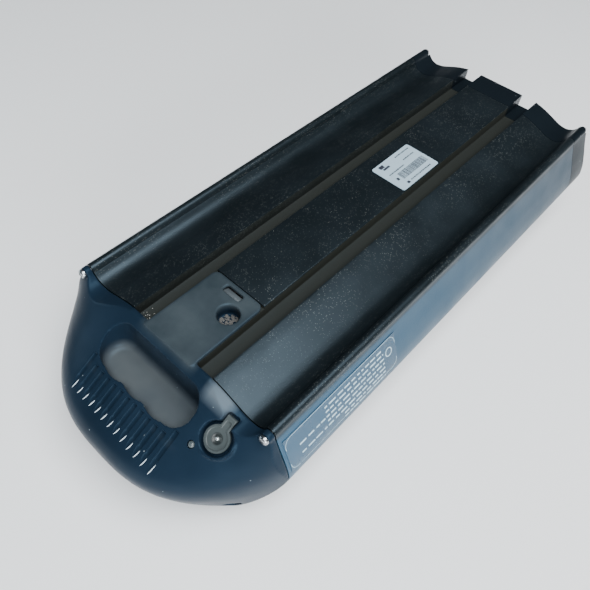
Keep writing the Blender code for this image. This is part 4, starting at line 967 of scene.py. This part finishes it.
# ---------------------------------------------------------------- connector cap
def make_connector_cap():
    edge_y = FAR_SEAM_Y + SEAL_STEP
    outline = crisp_outline(6)
    rounding = 0.0014
    sections = [(outline, FAR_SEAM_Y + GAP)]
    for step in range(6):
        angle = math.radians(18 * step)
        rounded = shrunk(outline, rounding * (1 - math.cos(angle)))
        sections.append((rounded, END_Y - rounding * (1 - math.sin(angle))))
    cap = loft("connector_cap_shell", sections)
    cut(cap, prism("cavity", inner_outline(PLASTIC_WALL, GROOVE_DEPTH + PLASTIC_WALL),
                   FAR_SEAM_Y - MARGIN, END_Y - 0.003))
    cut(cap, gasket_room(FAR_SEAM_Y - MARGIN, edge_y))
    low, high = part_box("discharge_connector_body")
    window = (CONNECTOR_SIZE[0], 0.020, CONNECTOR_SIZE[1])
    cut(cap, box("connector_window", window, (0, END_Y, (low.z + high.z) / 2)))
    join(cap, *rods("boss", COUNTERBORE_RADIUS + BOSS_WALL, edge_y, END_Y - 0.0005, LOWER_PLACES))
    cut(cap, screw_holes(FAR_SEAM_Y - MARGIN, END_Y + MARGIN))
    bores = rods("counterbore", COUNTERBORE_RADIUS, END_Y - FAR_HEAD_SEAT, END_Y + MARGIN)
    cut(cap, merged("counterbores", bores))
    join(cap, cap_spigot("far_spigot", FAR_SEAM_Y - SPIGOT_LENGTH, edge_y + 0.0015))
    finish_piece(cap, "cap_plastic", replaces="connector_cap")


# ---------------------------------------------------------------- labels
def dashes(across, start, end, longest=0.0014):
    """A broken line along Y at one x, standing for a row of print."""
    marks = []
    while start < end:
        length = min(end - start, random.uniform(0.3, 1.0) * longest)
        marks.append((across, start + length / 2, length))
        start += length + random.uniform(0.15, 0.35) * longest
    return marks


def rounded_path(low, high, radius, steps=6):
    """A path round a rectangle with rounded corners, which ends by repeating its first two points."""
    left, right = low[0] + radius, high[0] - radius
    bottom, top = low[1] + radius, high[1] - radius
    path = []
    for x, y, first in ((right, bottom, -90), (right, top, 0), (left, top, 90), (left, bottom, 180)):
        for step in range(steps + 1):
            angle = math.radians(first + 90 * step / steps)
            path.append(Vector((x + radius * math.cos(angle), y + radius * math.sin(angle))))
    return path + path[:2]


def make_spec_label():
    """White label with plain broken lines, bars and blocks, in place of any wording or mark."""
    low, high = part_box("spec_label")
    width, length = high.x - low.x, high.y - low.y
    corner = 0.0015
    sheet = plate("spec_sheet", rounded_path(low, high, corner)[:-2], low.z, high.z)
    finish_piece(sheet, "label_white", replaces="spec_label")
    # Bars are (x, y, width, length) from the low corner, as shares of the label.
    bars = [(0.11, 0.18, 0.10, 0.11), (0.21, 0.23, 0.06, 0.16), (0.65, 0.155, 0.08, 0.05),
            (0.89, 0.23, 0.07, 0.06)]
    share = 0.24
    while share < 0.93:
        thick = random.uniform(0.004, 0.016)
        bars.append((0.635, share + thick / 2, 0.23, thick))
        share += thick + random.uniform(0.004, 0.012)
    marks = [(x * width, y * length, across * width, along * length) for x, y, across, along in bars]
    # Rows are (x, start, end), as shares of the label.
    for across, start, end in ((0.115, 0.55, 0.93), (0.31, 0.61, 0.91), (0.43, 0.12, 0.52),
                               (0.88, 0.31, 0.87)):
        row = dashes(across * width, start * length, end * length)
        marks += [(x, y, PRINT_HEIGHT, along) for x, y, along in row]
    form = bmesh.new()
    for x, y, across, along in marks:
        made = bmesh.ops.create_cube(form, size=1.0)["verts"]
        bmesh.ops.scale(form, vec=(across, along, PRINT_THICKNESS), verts=made)
        bmesh.ops.translate(form, vec=(low.x + x, low.y + y, high.z + PRINT_THICKNESS / 2), verts=made)
    finish_piece(object_from_bmesh("spec_print", form), "print_dark", degrees=None)


SIDE_WALL = smooth_curve(SIDE_POINTS, 12)


def wall_point(depth, lift):
    """The side wall's (x, depth) at a depth, lifted off the wall by a distance."""
    for start, end in zip(SIDE_WALL, SIDE_WALL[1:]):
        if start[1] <= depth <= end[1]:
            part = (depth - start[1]) / (end[1] - start[1])
            outwards = Vector((end[1] - start[1], start[0] - end[0])).normalized()
            return start.lerp(end, part) + lift * outwards
    return SIDE_WALL[-1]


def wall_strip(form, path, thickness, low_lift, high_lift):
    """A closed ribbon of print along a (y, depth) path on the side wall."""
    rings = []
    for index, point in enumerate(path):
        along = (path[min(index + 1, len(path) - 1)] - path[max(index - 1, 0)]).normalized()
        across = Vector((-along[1], along[0])) * thickness / 2
        ring = []
        for corner, lift in ((point - across, low_lift), (point + across, low_lift),
                             (point + across, high_lift), (point - across, high_lift)):
            ring.append(form.verts.new(world(wall_point(corner[1], lift), corner[0])))
        rings.append(ring)
    bridge(form, rings)


def make_side_label():
    """Film on the side wall, with a fine outline, plain broken lines and a ring."""
    low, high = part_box("side_label")
    top, bottom = RIM_HEIGHT - high.z, RIM_HEIGHT - low.z
    lift = LABEL_GAP + LABEL_THICKNESS
    form = bmesh.new()
    steps = 24
    rings = []
    for step in range(steps + 1):
        depth = top + (bottom - top) * step / steps
        under, over = wall_point(depth, LABEL_GAP), wall_point(depth, lift)
        corners = ((under, low.y), (under, high.y), (over, high.y), (over, low.y))
        rings.append([form.verts.new(world(point, y)) for point, y in corners])
    bridge(form, rings)
    bmesh.ops.recalc_face_normals(form, faces=form.faces)
    finish_piece(object_from_bmesh("side_film", form), "label_clear", replaces="side_label")
    edge = 0.0006
    form = bmesh.new()
    lines = (lift - 0.00002, lift + PRINT_THICKNESS)
    border = rounded_path((low.y + edge, top + edge), (high.y - edge, bottom - edge), 0.0048, 8)
    wall_strip(form, border, 0.00022, *lines)
    text_low, text_high = low.y + 0.0085, high.y - 0.0105
    span = text_high - text_low
    for row, start in enumerate((0.30, 0.30, 0.0, 0.30, 0.0, 0.48, 0.48)):
        depth = top + 0.0040 + row * 0.0029
        for across, y, length in dashes(depth, text_low + start * span, text_high, 0.0050):
            ends = [Vector((y - length / 2, across)), Vector((y + length / 2, across))]
            wall_strip(form, ends, PRINT_HEIGHT, *lines)
    centre, reach = Vector((high.y - 0.0062, top + 0.0085)), 0.0024
    corner = Vector((reach, reach))
    wall_strip(form, rounded_path(centre - corner, centre + corner, reach * 0.98), 0.0006, *lines)
    bmesh.ops.recalc_face_normals(form, faces=form.faces)
    finish_piece(object_from_bmesh("side_print", form), "print_pale", degrees=None)


# ---------------------------------------------------------------- dirt
def crumbs(name, spots, slot):
    """Small rough grains. Spots are (place, radius, flatness)."""
    form = bmesh.new()
    for place, radius, flatness in spots:
        made = bmesh.ops.create_icosphere(form, subdivisions=1, radius=radius)["verts"]
        for vert in made:
            vert.co *= random.uniform(0.75, 1.2)
            vert.co.z *= flatness
            vert.co += place
    finish_piece(object_from_bmesh(name, form), slot, degrees=None)


def make_dirt():
    """Grit on the lock hole's floor, at the near end of the left groove, and strewn on the land."""
    floor = TONGUE_TOP - LOCK_DEPTH
    spots = []
    for _ in range(130):
        reach, angle = LOCK_RADIUS * 0.93 * math.sqrt(random.random()), random.uniform(0, 2 * math.pi)
        place = Vector((LOCK_X + reach * math.cos(angle), SEAM_Y + LOCK_Y + reach * math.sin(angle), floor))
        spots.append((place, random.uniform(0.0003, 0.0009), 0.6))
    crumbs("lock_grit", spots, "grit")
    spots = []
    for _ in range(36):
        place = Vector((random.uniform(-GROOVE_OUTER + 0.001, -LAND_HALF - 0.001),
                        SEAM_Y + abs(random.gauss(0, 0.004)) + 0.0003, RIM_HEIGHT - GROOVE_DEPTH))
        spots.append((place, random.uniform(0.00010, 0.00032), 0.8))
    for _ in range(70):
        place = Vector((random.uniform(-LAND_HALF, LAND_HALF) * 0.95,
                        random.uniform(SEAM_Y + TONGUE_LENGTH + 0.002, FAR_SEAM_Y), RIM_HEIGHT))
        spots.append((place, random.uniform(0.00006, 0.00018), 0.7))
    crumbs("loose_grit", spots, "grit_pale")


# ---------------------------------------------------------------- stage, lights and camera
def make_stage():
    form = bmesh.new()
    bmesh.ops.create_grid(form, x_segments=1, y_segments=1, size=3.0)
    floor = object_from_bmesh("floor", form)
    recipe = Recipe("floor_pale", (0.92, 0.93, 0.94), 0.9)
    floor.data.materials.append(recipe.material)
    floor.location.z = cad_box[0][2] - 0.0002


def area_light(name, place, target, size, power, colour=(1.0, 1.0, 1.0)):
    light = bpy.data.lights.new(name, "AREA")
    light.shape = "RECTANGLE"
    light.size, light.size_y = size
    light.energy = power
    light.color = colour
    lamp = bpy.data.objects.new(name, light)
    bpy.context.scene.collection.objects.link(lamp)
    lamp.location = place
    lamp.rotation_euler = (Vector(target) - Vector(place)).to_track_quat("-Z", "Y").to_euler()


def make_lights():
    sky = bpy.data.worlds.new("studio")
    sky.use_nodes = True
    background = sky.node_tree.nodes["Background"]
    background.inputs["Color"].default_value = (0.70, 0.85, 1.0, 1.0)
    background.inputs["Strength"].default_value = 0.08
    bpy.context.scene.world = sky
    near_end = (0.03, SEAM_Y + 0.02, 0.05)
    area_light("top_softbox", (0.50, -0.17, 1.40), near_end, (1.5, 1.0), 44.0, (0.97, 0.99, 1.0))
    area_light("side_softbox", (1.15, -0.75, 0.40), near_end, (1.0, 0.6), 24.0, (0.94, 0.98, 1.0))
    area_light("left_strip", (-1.17, -0.60, 0.42), near_end, (0.6, 0.12), 2.5, (0.70, 0.88, 1.0))


def make_camera():
    """Level with the reference view: above the grip end, looking down along the pack."""
    data = bpy.data.cameras.new("view")
    data.lens, data.sensor_width = 35.57, 36.0
    data.clip_start = 0.01
    camera = bpy.data.objects.new("view", data)
    bpy.context.scene.collection.objects.link(camera)
    right = Vector((0.7359, 0.6761, 0.0549)).normalized()
    back = Vector((0.3764, -0.4744, 0.7952)).normalized()
    up = back.cross(right).normalized()
    right = up.cross(back)
    turn = Matrix((right, up, back)).transposed().to_4x4()
    place = Vector((0.137, SEAM_Y - 0.081, RIM_HEIGHT + 0.240))
    camera.matrix_world = Matrix.Translation(place) @ turn
    bpy.context.scene.camera = camera


make_camera()
make_stage()
make_lights()
dress_cad_nodes()
make_sleeve()
make_handle_cap()
make_tongue_clip()
make_cap_screws()
make_port_cover()
make_led_lens()
make_connector_cap()
make_spec_label()
make_side_label()
make_dirt()
